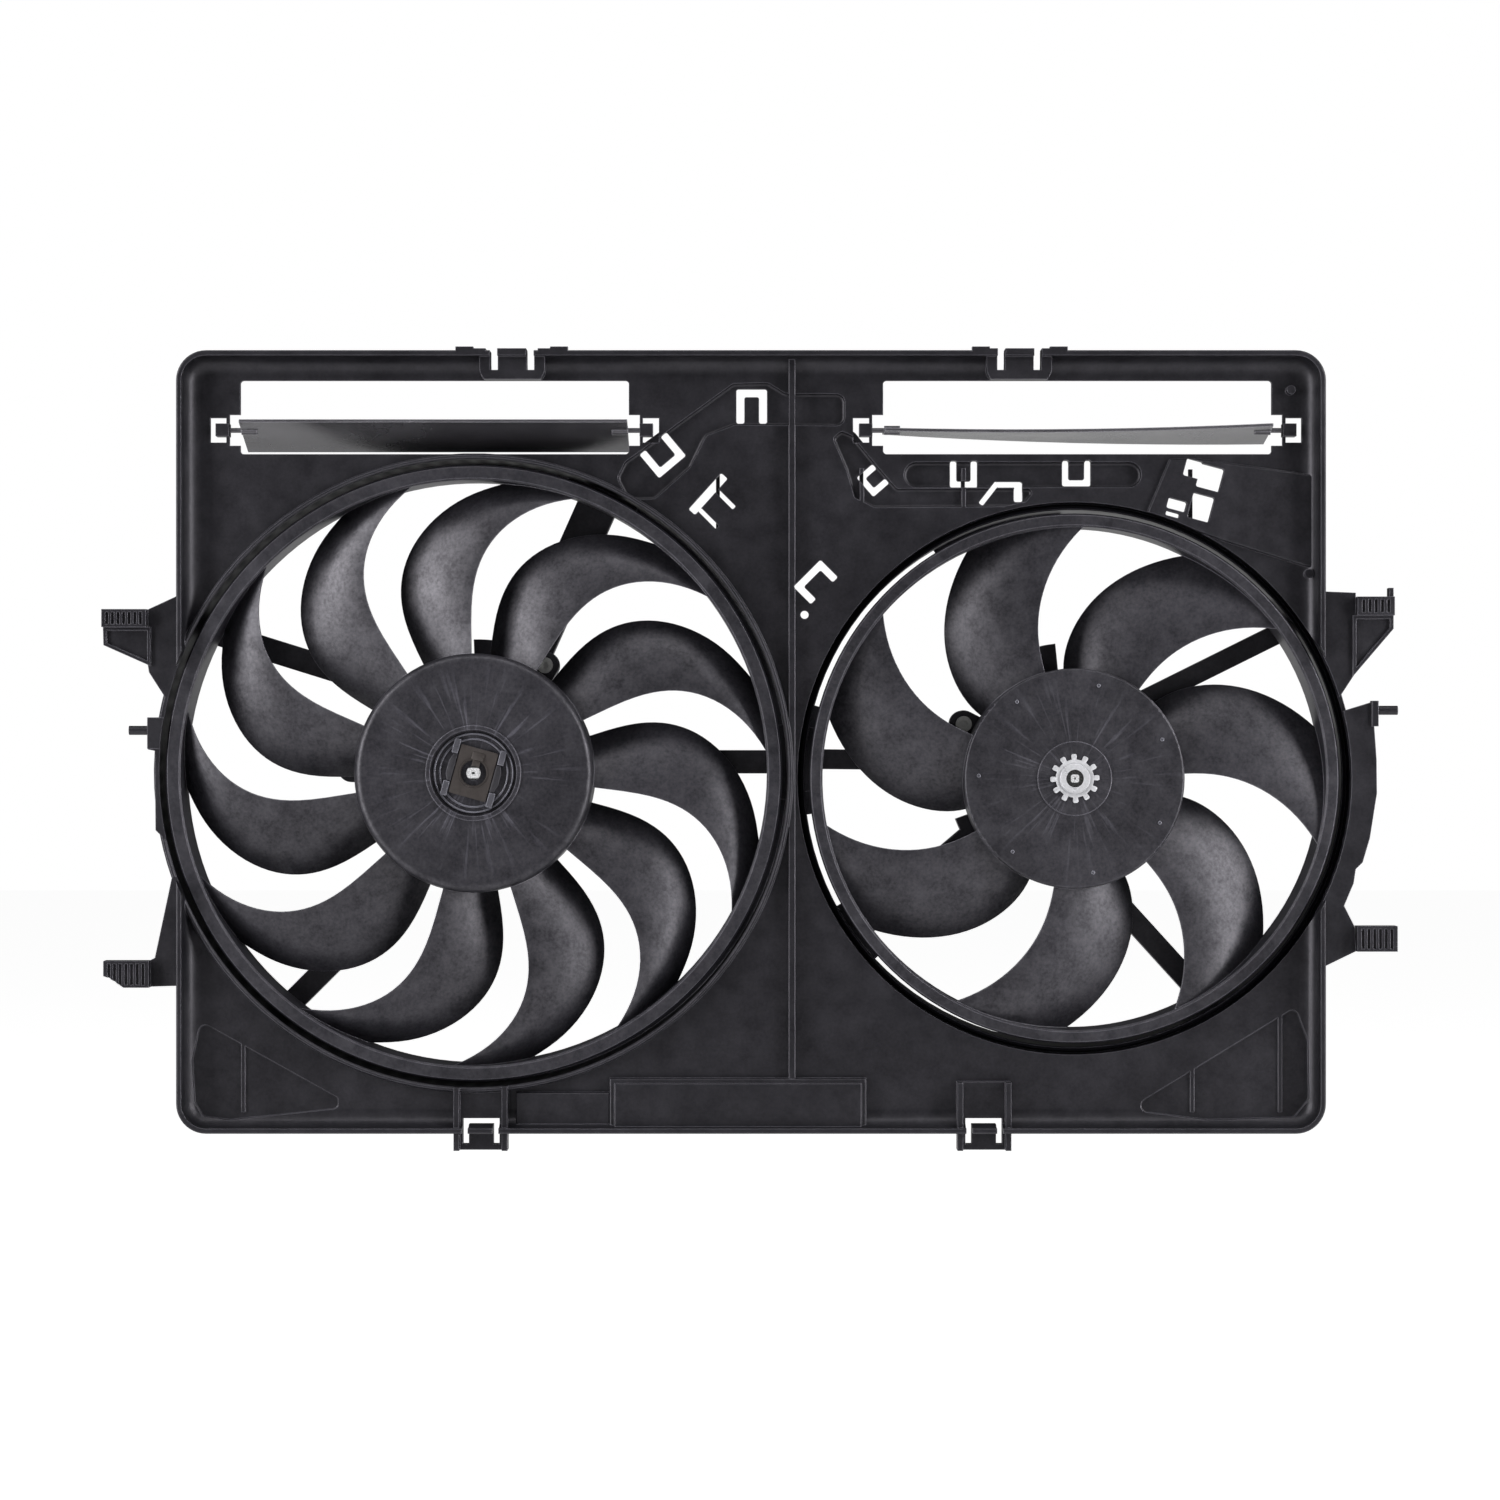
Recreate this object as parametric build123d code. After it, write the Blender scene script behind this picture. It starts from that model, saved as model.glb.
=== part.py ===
from build123d import *
import math
import os
from dataclasses import dataclass

os.makedirs("parts", exist_ok=True)

# The frame: X to the right and Z up as the radiator sees the module, Y away from the radiator.
# The origin is the middle of the rim's front face, which seats on the radiator.

# Shroud body
body_width = 650.0
body_height = 443.0
corner_radius = 17.0
rim_depth = 14.0
rim_wall = 3.0
rim_edge_round = 1.0
floor_round = 10.0
plate_thickness = 2.5
plate_back = rim_depth + plate_thickness
groove_depth = 8.0
cut_margin = 1.0

# Clearances and fits
seat_ring_gap = 3.5
running_fit = 0.05
seat_gap = 0.02
flap_gap = 0.6

# Ram air windows and their flaps
window_width = 221.0
window_height = 41.8
window_margin = 15.9
window_corner = 2.0
window_top = body_height / 2 - window_margin
window_bottom = window_top - window_height
left_window_x = -180.0
right_window_x = 185.7
hinge_rise = 13.6
hinge_height = window_bottom + hinge_rise
hinge_depth = rim_depth + plate_thickness / 2
pivot_pin_radius = 1.4
pivot_pin_clearance = 0.1
flap_thickness = 1.8
flap_stations = 5
pivot_barrel_radius = 2.6
pivot_barrel_length = 9.0
left_flap_opening = 110.0
right_flap_opening = 94.0
right_flap_twist = -6.0
right_flap_sag = 2.0
notch_width = 6.2
notch_height = 17.6
hinge_web = 1.8
bearing_width = 5.7
bearing_height = 7.2
bearing_depth = 9.0
bearing_slot_width = 3.4

# Struts and motor seats
strut_front = 44.0
strut_back = 54.0
strut_foot_span = 7.0
strut_foot_thickness = 5.0
seat_ring_width = 6.0
screw_head_radius = 4.6
screw_head_height = 3.2
screw_shank_radius = 2.4
screw_length = 14.0
screw_hole_clearance = 0.1
ear_thickness = 2.5
ear_radius = 8.0

# Motor insides that both motors share
can_wall = 2.2
bearing_wall = 4.5
bearing_length = 9.0
neck_wall = 2.0
air_gap = 0.8
magnet_thickness = 7.0
magnet_span = 72.0
magnet_count = 4
winding_end = 6.0
winding_gap = 0.2
slot_count = 12
tooth_width = 1.8
slot_floor = 8.0
slot_lip = 2.0
commutator_length = 14.0
commutator_wall = 8.0
commutator_groove = 0.8
brush_width = 7.0
brush_height = 8.0
brush_length = 12.0
brush_gap = 0.3
brush_turn = 45.0
brush_card_thickness = 2.5
brush_box_wall = 1.2
brush_box_gap = 3.0
brush_card_gap = 2.0
brush_box_overlap = 2.0
end_space = 3.0
spring_radius = 3.0
spring_wall = 0.8
spring_inset = 1.0
end_plate_thickness = 2.5
socket_width = 26.0
socket_height = 15.0
socket_depth = 20.0
socket_wall = 1.8
socket_floor = 4.0
socket_radius_share = 0.62
terminal_width = 6.3
terminal_thickness = 0.8
terminal_length = 14.0
terminal_pitch = 10.0


@dataclass
class Fan:
    """Driving sizes of one fan, its collar in the shroud and its motor."""

    name: str
    centre: tuple
    ring_radius: float
    ring_face: float
    ring_wall: float
    ring_front: float
    ring_back: float
    ring_gap: float
    blade_count: int
    blade_first: float
    blade_sweep: float
    blade_sweep_power: float
    blade_root_span: float
    blade_tip_span: float
    blade_span_power: float
    blade_thickness: float
    blade_camber: float
    blade_front: float
    blade_root_back: float
    blade_tip_back: float
    hub_radius: float
    hub_front: float
    hub_back: float
    hub_wall: float
    hub_round: float
    hub_rib_count: int
    boss_radius: float
    boss_back: float
    shaft_radius: float
    shaft_front: float
    shaft_flat: float
    collar_lip: float
    collar_wall: float
    collar_front: float
    collar_back: float
    back_flange: float
    groove: float
    flange_arcs: tuple
    can_radius: float
    can_front: float
    core_length: float
    brush_count: int
    screw_radius: float
    screw_angles: tuple
    seat_blocks: tuple
    struts: tuple
    socket_angle: float

    @property
    def bore(self):
        """Inner radius of the collar."""
        return self.ring_radius + self.ring_gap

    @property
    def ring_bore(self):
        """Inner radius of the ring that joins the blade tips."""
        return self.ring_radius - self.ring_face

    @property
    def can_back(self):
        return self.commutator_front + commutator_length + end_space

    @property
    def bearing_radius(self):
        return self.shaft_radius + bearing_wall

    @property
    def magnet_bore(self):
        return self.can_radius - can_wall - magnet_thickness

    @property
    def core_radius(self):
        return self.magnet_bore - air_gap

    @property
    def core_front(self):
        return self.can_front + can_wall + bearing_length + neck_wall + winding_end

    @property
    def core_back(self):
        return self.core_front + self.core_length

    @property
    def commutator_radius(self):
        return self.shaft_radius + commutator_wall

    @property
    def commutator_front(self):
        return self.core_back + winding_end + neck_wall

    @property
    def seat_radius(self):
        """Inner radius of the shroud's ring around the motor can."""
        return self.can_radius + seat_ring_gap


main_fan = Fan(
    name="main", centre=(-157.4, -17.6),
    ring_radius=175.0, ring_face=8.5, ring_wall=2.5, ring_front=9.0, ring_back=38.0, ring_gap=3.3,
    blade_count=11, blade_first=202.0, blade_sweep=27.0, blade_sweep_power=2.75,
    blade_root_span=26.5, blade_tip_span=16.1, blade_span_power=1.8,
    blade_thickness=2.4, blade_camber=3.0, blade_front=12.5, blade_root_back=37.0, blade_tip_back=33.0,
    hub_radius=68.0, hub_front=6.0, hub_back=40.0, hub_wall=3.0, hub_round=5.0, hub_rib_count=22,
    boss_radius=12.0, boss_back=24.0, shaft_radius=4.0, shaft_front=6.5, shaft_flat=1.0,
    collar_lip=3.2, collar_wall=2.5, collar_front=8.0, collar_back=54.0, back_flange=6.5,
    groove=0.0, flange_arcs=(),
    can_radius=54.0, can_front=26.0, core_length=26.0, brush_count=4,
    screw_radius=73.0, screw_angles=(58.0, 178.0, 298.0), seat_blocks=((88.0, 77.0, 4.0),),
    struts=((6.0, 2.0, 13.5), (66.0, 66.0, 23.0), (131.0, 152.5, 13.5), (242.0, 230.6, 13.0)),
    socket_angle=320.0,
)

second_fan = Fan(
    name="second", centre=(183.6, -20.7),
    ring_radius=150.5, ring_face=7.5, ring_wall=2.5, ring_front=9.0, ring_back=36.0, ring_gap=2.6,
    blade_count=7, blade_first=227.8, blade_sweep=25.5, blade_sweep_power=1.5,
    blade_root_span=42.5, blade_tip_span=27.0, blade_span_power=1.0,
    blade_thickness=2.6, blade_camber=5.0, blade_front=11.5, blade_root_back=36.5, blade_tip_back=33.0,
    hub_radius=62.6, hub_front=8.0, hub_back=40.0, hub_wall=2.8, hub_round=1.6, hub_rib_count=14,
    boss_radius=13.0, boss_back=25.0, shaft_radius=4.9, shaft_front=5.6, shaft_flat=0.0,
    collar_lip=1.5, collar_wall=2.2, collar_front=18.0, collar_back=54.0, back_flange=0.0,
    groove=2.6, flange_arcs=((106.0, 14.5), (176.0, 12.0)),
    can_radius=48.0, can_front=27.0, core_length=22.0, brush_count=2,
    screw_radius=68.5, screw_angles=(33.0, 153.0, 273.0), seat_blocks=((101.0, 78.0, 5.2), (203.5, 69.5, 3.6)),
    struts=((49.0, 34.2, 11.3), (169.5, 175.9, 11.5), (208.0, 216.0, 12.5), (282.0, 302.0, 12.5)),
    socket_angle=340.0,
)

fans = (main_fan, second_fan)

# Fan fixings on the shafts
recess_radius = 24.6
recess_depth = 4.0
recess_lip_width = 2.4
recess_lip_height = 1.0
clip_width = 22.0
clip_height = 28.0
clip_thickness = 1.2
clip_turn = -15.0
clip_leg_width = 4.0
clip_leg_depth = 3.0
clip_leg_height = 1.4
washer_tip_radius = 13.9
washer_root_radius = 10.8
washer_teeth = 12
washer_tooth_share = 0.45
washer_thickness = 0.8
washer_collar_radius = 8.7
washer_collar_height = 1.2
disc_radius = 21.0
disc_height = 0.8

# Plate details, as places across and up on the plate unless a name says otherwise
rib_x = 23.3
rib_width = 3.4
rib_front = 9.0
box_left = -80.2
box_right = 65.4
box_height = 30.4
box_front = 7.0
box_border = 2.6
box_border_height = 1.6
small_box_left = -133.5
small_box_height = 22.4
small_box_front = 9.5
channel_depth = 3.0
channel_round = 5.0
channel_floor_round = 2.0
bar_pocket_depth = 4.5
facet_depth = 1.2
facet_round = 4.0
panel_height = 2.5
panel_round = 1.5
boss_spot_radius = 2.6
boss_spot_height = 2.0
boss_spots = ((316.9, 95.7), (306.7, 200.0))
cable_hole = (30.5, 72.4)
cable_hole_radius = 2.3
back_rib_width = 2.2
back_rib_height = 9.0
back_rib_inset = 8.0
back_rib_xs = (-290.0, -235.0, -80.0, -20.0, 62.0, 120.0, 250.0, 300.0)

upper_channel = [
    (-76.3, 150.3), (-71.7, 159.4), (-10.3, 204.0), (9.6, 204.5), (19.9, 198.3), (53.5, 198.1),
    (53.5, 179.9), (-9.1, 180.4), (-25.6, 174.2), (-34.7, 156.0), (-54.7, 138.3), (-70.0, 137.8),
]
right_channel = [
    (46.5, 173.0), (51.5, 177.0), (57.5, 174.5), (70.3, 158.8), (83.0, 144.2),
    (162.7, 144.2), (154.2, 134.1), (70.3, 133.4), (58.9, 139.1), (54.4, 154.4),
]
bar_pocket = ((94.3, 152.1), (214.9, 152.1), 14.5)
right_panel = [(238.0, 161.0), (255.2, 161.0), (321.4, 151.7), (321.4, 97.9), (268.5, 114.4), (225.0, 130.0)]
left_facet = [(-313.3, -158.7), (-225.4, -207.6), (-296.5, -215.0), (-312.0, -213.0), (-316.5, -205.0),
              (-318.0, -181.0)]
right_facet = [(213.9, -209.3), (310.0, -150.5), (317.0, -170.0), (317.5, -203.0), (309.0, -213.5),
               (260.0, -215.0)]

# Hook slots for harness clips: middle across, middle up, width, height, turn, slot width
hook_slots = [
    (0.4, 191.2, 17.4, 19.6, 0.0, 4.5),
    (-50.3, 163.5, 20.0, 17.5, 220.0, 4.3),
    (69.5, 149.1, 14.5, 12.0, 131.0, 3.6),
    (121.2, 152.5, 15.5, 15.2, 180.0, 3.7),
    (185.5, 153.1, 16.2, 14.6, 180.0, 3.6),
    (36.8, 91.1, 21.8, 14.0, 45.0, 4.2),
]

# Straight slots: middle across, middle up, length, width, turn
bar_slots = [
    (-24.4, 141.2, 27.8, 5.0, 48.0),
    (-14.7, 138.4, 14.7, 2.6, -45.0),
    (-24.2, 127.3, 14.7, 2.6, -45.0),
    (135.7, 141.7, 15.9, 2.9, 52.0),
    (146.9, 146.6, 14.6, 3.6, 0.0),
    (152.2, 142.5, 11.5, 4.9, 90.0),
    (251.3, 155.4, 9.5, 10.0, -15.0),
    (261.0, 150.2, 13.5, 13.5, -15.0),
    (255.8, 133.3, 12.5, 14.5, -15.0),
    (242.0, 134.8, 10.8, 6.0, -15.0),
    (239.6, 129.4, 7.8, 2.6, -15.0),
]
slot_corner = 1.2

# Clips on the edges
top_clip_slot_spread = 10.3
top_clip_slot_width = 4.3
top_clip_slot_depth = 10.7
top_clip_ear_width = 10.0
top_clip_step_width = 7.0
top_clip_rise = 2.0
top_clip_boss_drop = 18.5
top_clip_boss_width = 37.0
top_clip_boss_round = 9.0
top_clip_front = 5.0
left_top_clip = (-135.3, 63.5)
right_top_clip = (152.0, 54.0)
bottom_clip_width = 30.5
bottom_clip_drop = 10.0
bottom_clip_height = 38.5
bottom_clip_front = 10.0
bottom_clip_slot_width = 20.8
bottom_clip_slot_height = 14.7
bottom_clip_tongue_width = 13.9
bottom_clip_rib = 3.2
bottom_clip_rib_front = 4.0
bottom_clip_xs = (-153.2, 132.2)

# Side tabs and locating pins, as places outwards from the body's side and up
tab_front = 8.0
tab_thickness = 4.0
tab_root = 3.4
tab_border = 1.8
tab_border_height = 2.0
grip_front = 2.0
grip_depth = 10.0
grip_groove = 1.6
left_upper_tab = [(-tab_root, 84.7), (17.2, 75.2), (42.5, 75.2), (42.0, 54.9), (17.2, 43.9), (16.5, 39.5),
                  (7.7, 25.8), (-tab_root, 8.5)]
left_upper_frame = [(15.4, 65.1), (42.3, 65.1), (42.0, 54.9), (15.4, 43.1)]
left_upper_grip = (17.2, 42.5, 65.1, 75.2, 7)
left_pin_tab = [(-tab_root, 30.0), (7.0, 25.0), (9.0, 14.0), (17.2, 14.0), (17.2, -4.2), (13.2, -5.0),
                (12.8, -50.0), (-tab_root, -66.0)]
left_pin_block = (8.0, 17.2, -3.8, 13.9)
left_lower_tab = [(-tab_root, -74.0), (3.6, -77.0), (5.6, -86.6), (13.2, -122.4), (16.6, -124.2), (16.6, -138.8),
                  (-tab_root, -138.2)]
left_lower_grip = (15.7, 41.4, -139.0, -123.9, 7)
left_lower_grip_cut = [(41.8, -132.3), (38.0, -133.6), (29.3, -139.4), (41.8, -139.4)]
right_upper_tab = [(-tab_root, 85.6), (18.1, 84.7), (18.1, 82.3), (39.2, 82.3), (39.2, 64.2), (18.1, 39.5),
                   (10.6, 28.0), (-tab_root, 6.5)]
right_upper_frame = [(16.3, 71.7), (39.2, 71.7), (39.2, 64.2), (16.3, 37.4)]
right_upper_grip = (18.1, 39.2, 71.7, 82.3, 5)
right_upper_post = (36.8, 39.2, 82.3, 87.4)
right_lower_tab = [(-tab_root, 13.0), (13.3, 18.3), (28.6, 23.0), (28.6, 8.6), (29.9, -10.0), (30.1, -29.1),
                   (26.1, -54.6), (22.0, -68.3), (18.1, -72.1), (16.9, -80.1), (11.5, -92.9), (17.2, -104.2),
                   (18.4, -118.6), (-tab_root, -129.2)]
right_pin_block = (27.2, 30.7, 8.9, 23.4)
right_lower_grip = (18.0, 40.8, -118.6, -104.2, 6)
locating_pin_radius = 2.6
left_pin = (17.2, 6.6, 10.8)
right_pin = (30.7, 18.0, 11.3)


# Common shapes

def outline(face, front, back):
    """A solid between two depths, from an outline drawn as the radiator sees it."""
    return extrude(Plane.XZ.offset(-front) * face, amount=back - front, dir=(0, 1, 0))


def disc(radius, centre, front, back):
    return outline(Pos(*centre) * Circle(radius), front, back)


def tube(outer, inner, centre, front, back):
    return disc(outer, centre, front, back) - disc(inner, centre, front - cut_margin, back + cut_margin)


def block(left, right, bottom, top, front, back):
    """A box from its edges as the radiator sees it."""
    face = Pos((left + right) / 2, (bottom + top) / 2) * Rectangle(right - left, top - bottom)
    return outline(face, front, back)


def plate(points, front, back):
    return outline(make_face(Polyline(*points, close=True)), front, back)


def turned(points, centre):
    """A ring turned about a fan's axis, from points of radius and depth."""
    section = make_face(Polyline(*points, close=True))
    return Pos(centre[0], 0, centre[1]) * revolve(section, Axis.Y)


def polar(radius, angle):
    return (radius * math.cos(math.radians(angle)), radius * math.sin(math.radians(angle)))


def from_centre(centre, radius, angle):
    across, up = polar(radius, angle)
    return (centre[0] + across, centre[1] + up)


def capsule(start, end, width):
    """Outline of a straight strip with round ends."""
    run = Line(start, end)
    turn = math.degrees(math.atan2(end[1] - start[1], end[0] - start[0]))
    middle = run @ 0.5
    return Pos(middle.X, middle.Y) * Rot(0, 0, turn) * SlotCenterToCenter(run.length, width)


def sector(outer, inner, angle, half_span):
    """Outline of a short piece of ring around the origin."""
    edges = Line(polar(inner, angle - half_span), polar(outer, angle - half_span))
    edges += ThreePointArc(
        polar(outer, angle - half_span), polar(outer, angle), polar(outer, angle + half_span)
    )
    edges += Line(polar(outer, angle + half_span), polar(inner, angle + half_span))
    edges += ThreePointArc(
        polar(inner, angle + half_span), polar(inner, angle), polar(inner, angle - half_span)
    )
    return make_face(edges)


def hook(width, height, slot):
    """Outline of a hook shaped slot that leaves a tongue open at its foot."""
    tongue = Pos(0, -slot / 2) * Rectangle(width - 2 * slot, height - slot)
    return Rectangle(width, height) - tongue


def spread(angles, centre, piece):
    """Copies of a piece turned about a fan's axis by each angle."""
    home = Pos(centre[0], 0, centre[1])
    return [home * Rot(0, -angle, 0) * home.inverse() * piece for angle in angles]


# Shroud

def tray():
    """The open tray of the shroud, with a wide fillet from its floor to its rim."""
    body = outline(RectangleRounded(body_width, body_height, corner_radius), 0, plate_back)
    body = fillet(body.faces().sort_by(Axis.Y)[-1].edges(), floor_round + plate_thickness)
    body = fillet(body.faces().sort_by(Axis.Y)[0].edges(), rim_edge_round)
    inside = RectangleRounded(body_width - 2 * rim_wall, body_height - 2 * rim_wall, corner_radius - rim_wall)
    hollow = outline(inside, -cut_margin, rim_depth)
    hollow = fillet(hollow.faces().sort_by(Axis.Y)[-1].edges(), floor_round)
    return body - hollow


def collar(fan):
    """The deep wall around one fan, with a rolled lip at its front."""
    lip_radius = fan.bore + fan.collar_lip
    wall_radius = fan.bore + fan.collar_wall
    back_bore = fan.bore - fan.back_flange
    flange_front = fan.collar_back - fan.collar_wall
    lip_round = min(rim_edge_round, fan.collar_lip / 3)
    root = max(fan.collar_front + lip_round, plate_back)
    points = [
        (fan.bore, fan.collar_front + lip_round),
        (fan.bore + lip_round, fan.collar_front),
        (lip_radius - lip_round, fan.collar_front),
        (lip_radius, fan.collar_front + lip_round),
        (lip_radius, root + lip_round),
        (wall_radius, root + lip_round),
        (wall_radius, fan.collar_back),
        (back_bore, fan.collar_back),
    ]
    if fan.back_flange > 0:
        points += [(back_bore, flange_front), (fan.bore, flange_front)]
    return turned(points, fan.centre)


def groove_radius(fan):
    """Where the plate's edge stands around a collar."""
    return fan.bore + fan.collar_lip + fan.groove


def groove_wall(fan):
    """The sunken channel between a collar's lip and the plate."""
    edge = groove_radius(fan)
    floor = fan.collar_front + groove_depth
    points = [
        (edge, rim_depth),
        (edge + plate_thickness, rim_depth),
        (edge + plate_thickness, floor + plate_thickness),
        (fan.bore + fan.collar_wall / 2, floor + plate_thickness),
        (fan.bore + fan.collar_wall / 2, floor),
        (edge, floor),
    ]
    return turned(points, fan.centre)


def flange_arcs(fan):
    """Short inward flanges at the back of a collar."""
    outer = fan.bore + fan.collar_wall / 2
    arcs = [sector(outer, fan.bore - strut_foot_thickness, angle, half) for angle, half in fan.flange_arcs]
    return [outline(Pos(*fan.centre) * arc, fan.collar_back - fan.collar_wall, fan.collar_back) for arc in arcs]


def strut(fan, inner_angle, outer_angle, width):
    """One strut from the motor ring to the collar, with its foot along the collar."""
    inner = polar(fan.seat_radius + seat_ring_width / 2, inner_angle)
    outer = polar(fan.bore + fan.collar_wall / 2, outer_angle)
    bar = capsule(inner, outer, width)
    foot = sector(fan.bore + fan.collar_wall / 2, fan.bore - strut_foot_thickness, outer_angle, strut_foot_span)
    keep = Circle(fan.bore + fan.collar_wall / 2) - Circle(fan.seat_radius)
    return outline(Pos(*fan.centre) * ((bar + foot) & keep), strut_front, strut_back)


def motor_seat(fan):
    """The ring around the motor can, with a boss for each screw."""
    ring = Circle(fan.seat_radius + seat_ring_width)
    for angle in fan.screw_angles:
        ring += capsule(polar(fan.seat_radius, angle), polar(fan.screw_radius, angle), 2 * ear_radius)
    for angle, reach, half_span in fan.seat_blocks:
        ring += sector(reach, fan.seat_radius, angle, half_span)
    ring -= Circle(fan.seat_radius)
    return outline(Pos(*fan.centre) * ring, strut_front, strut_back)


def screw_holes(fan):
    radius = screw_shank_radius + screw_hole_clearance
    places = [from_centre(fan.centre, fan.screw_radius, angle) for angle in fan.screw_angles]
    return [disc(radius, place, strut_front - cut_margin, strut_back + cut_margin) for place in places]


def window(centre_x):
    opening = RectangleRounded(window_width, window_height, window_corner)
    place = Pos(centre_x, (window_top + window_bottom) / 2)
    return outline(place * opening, -cut_margin, plate_back + cut_margin)


def bearing_x(centre_x, side):
    """Middle of a flap bearing, across."""
    return centre_x + side * (window_width / 2 + notch_width + hinge_web + bearing_width / 2)


def hinge_cut(centre_x, side):
    """The notch beside a window and the slot that frees the flap bearing."""
    notch = Pos(centre_x + side * (window_width + notch_width - cut_margin) / 2, hinge_height)
    cut = notch * Rectangle(notch_width + cut_margin, notch_height)
    middle = bearing_x(centre_x, side)
    slot_height = bearing_height + 2 * bearing_slot_width
    slot = Pos(middle + side * bearing_slot_width / 2, hinge_height)
    cut += slot * Rectangle(bearing_width + bearing_slot_width, slot_height)
    return outline(cut, -cut_margin, plate_back + cut_margin)


def hinge_bearing(centre_x, side):
    """The block that holds a flap's pivot pin, on the web beside the notch."""
    middle = bearing_x(centre_x, side) - side * hinge_web / 2
    face = Pos(middle, hinge_height) * Rectangle(bearing_width + hinge_web, bearing_height)
    return outline(face, hinge_depth - bearing_depth / 2, hinge_depth + bearing_depth / 2)


def pivot_hole(centre_x, side):
    middle = bearing_x(centre_x, side) - side * hinge_web / 2
    length = bearing_width + hinge_web + 2 * cut_margin
    place = Pos(middle, hinge_depth, hinge_height) * Rot(0, 90, 0)
    return place * Cylinder(pivot_pin_radius + pivot_pin_clearance, length)


def top_clip(centre_x, width):
    """Raised guide blocks, and the boss that carries the spring tongue."""
    top = body_height / 2
    boss = Pos(centre_x, top - top_clip_boss_drop / 2) * Rectangle(top_clip_boss_width, top_clip_boss_drop)
    boss = fillet(boss.vertices().group_by(Axis.Y)[0], top_clip_boss_round)
    clip = outline(boss, top_clip_front, rim_depth + cut_margin)
    tongue = top_clip_slot_spread - top_clip_slot_width / 2
    clip += block(centre_x - tongue, centre_x + tongue, top - rim_wall, top + rim_edge_round, 0, rim_depth)
    for side in (-1, 1):
        edge = centre_x + side * width / 2
        inner = edge - side * top_clip_ear_width
        step = inner - side * top_clip_step_width
        clip += block(min(edge, inner), max(edge, inner), top - rim_wall, top + top_clip_rise, 0, top_clip_front)
        clip += block(min(inner, step), max(inner, step), top - rim_wall, top + rim_edge_round, 0, rim_depth)
    return clip


def top_clip_slots(centre_x):
    top = body_height / 2
    cut = []
    for side in (-1, 1):
        middle = centre_x + side * top_clip_slot_spread
        cut.append(block(middle - top_clip_slot_width / 2, middle + top_clip_slot_width / 2,
                         top - top_clip_slot_depth, top + top_clip_rise + cut_margin,
                         -cut_margin, plate_back + cut_margin))
    return cut


def bottom_clip(centre_x):
    """The frame that hangs below the body, with two guide ribs above it."""
    bottom = -body_height / 2 - bottom_clip_drop
    top = bottom + bottom_clip_height
    half = bottom_clip_width / 2
    clip = block(centre_x - half, centre_x + half, bottom, top, bottom_clip_front, plate_back)
    for side in (-1, 1):
        middle = centre_x + side * (half - bottom_clip_rib / 2)
        clip += block(middle - bottom_clip_rib / 2, middle + bottom_clip_rib / 2,
                      bottom, top, bottom_clip_rib_front, plate_back)
    return clip


def bottom_clip_slot(centre_x):
    slot_bottom = -body_height / 2 - bottom_clip_drop + bottom_clip_rib
    side_slot = (bottom_clip_slot_width - bottom_clip_tongue_width) / 2
    middle = Pos(centre_x, slot_bottom + bottom_clip_slot_height / 2)
    shape = middle * hook(bottom_clip_slot_width, bottom_clip_slot_height, side_slot)
    return outline(shape, -cut_margin, plate_back + cut_margin)


def outward(side, out):
    """Across, from a distance outwards of one side of the body."""
    return side * (body_width / 2 + out)


def side_block(side, low_out, high_out, bottom, top, front, back):
    near, far = outward(side, low_out), outward(side, high_out)
    return block(min(near, far), max(near, far), bottom, top, front, back)


def side_face(side, points):
    return make_face(Polyline(*[(outward(side, out), up) for out, up in points], close=True))


def side_tab(side, points):
    """A flat web outside the body's wall, rooted in the wall."""
    return outline(side_face(side, points), tab_front, tab_front + tab_thickness)


def tab_frame(side, points):
    """The raised border around the hollow of an upper tab."""
    face = side_face(side, points)
    border = face - offset(face, -tab_border)
    return outline(border, tab_front - tab_border_height, tab_front + tab_thickness)


def grip(side, low_out, high_out, bottom, top, grooves):
    """A ribbed finger grip on a side tab."""
    solid = side_block(side, low_out, high_out, bottom, top, grip_front, grip_front + grip_depth)
    pitch = (high_out - low_out) / (grooves + 1)
    for number in range(grooves):
        middle = low_out + pitch * (number + 1)
        solid -= side_block(side, middle - grip_groove / 2, middle + grip_groove / 2,
                            bottom + grip_groove, top - grip_groove,
                            grip_front - cut_margin, grip_front + grip_groove)
    return solid


def locating_pin(side, start, height, length):
    """A round pin that points outwards from its square root block."""
    place = Pos(outward(side, start + length / 2), tab_front + tab_thickness / 2, height)
    return place * Rot(0, 90, 0) * Cylinder(locating_pin_radius, length)


def side_tabs():
    """The webs, grips and locating pins on the two sides of the body."""
    block_front = tab_front - 2 * rim_edge_round
    block_back = tab_front + tab_thickness + 2 * rim_edge_round
    lower_grip = grip(-1, *left_lower_grip)
    lower_grip -= outline(side_face(-1, left_lower_grip_cut), 0, tab_front + grip_depth)
    return [
        side_tab(-1, left_upper_tab),
        tab_frame(-1, left_upper_frame),
        grip(-1, *left_upper_grip),
        side_tab(-1, left_pin_tab),
        side_block(-1, *left_pin_block, block_front, block_back),
        side_tab(-1, left_lower_tab),
        lower_grip,
        locating_pin(-1, *left_pin),
        side_tab(1, right_upper_tab),
        tab_frame(1, right_upper_frame),
        grip(1, *right_upper_grip),
        side_block(1, *right_upper_post, block_front, block_back),
        side_tab(1, right_lower_tab),
        side_block(1, *right_pin_block, block_front, block_back),
        grip(1, *right_lower_grip),
        locating_pin(1, *right_pin),
    ]


def rounded_outline(points, radius):
    face = make_face(Polyline(*points, close=True))
    return fillet(face.vertices(), radius)


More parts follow.
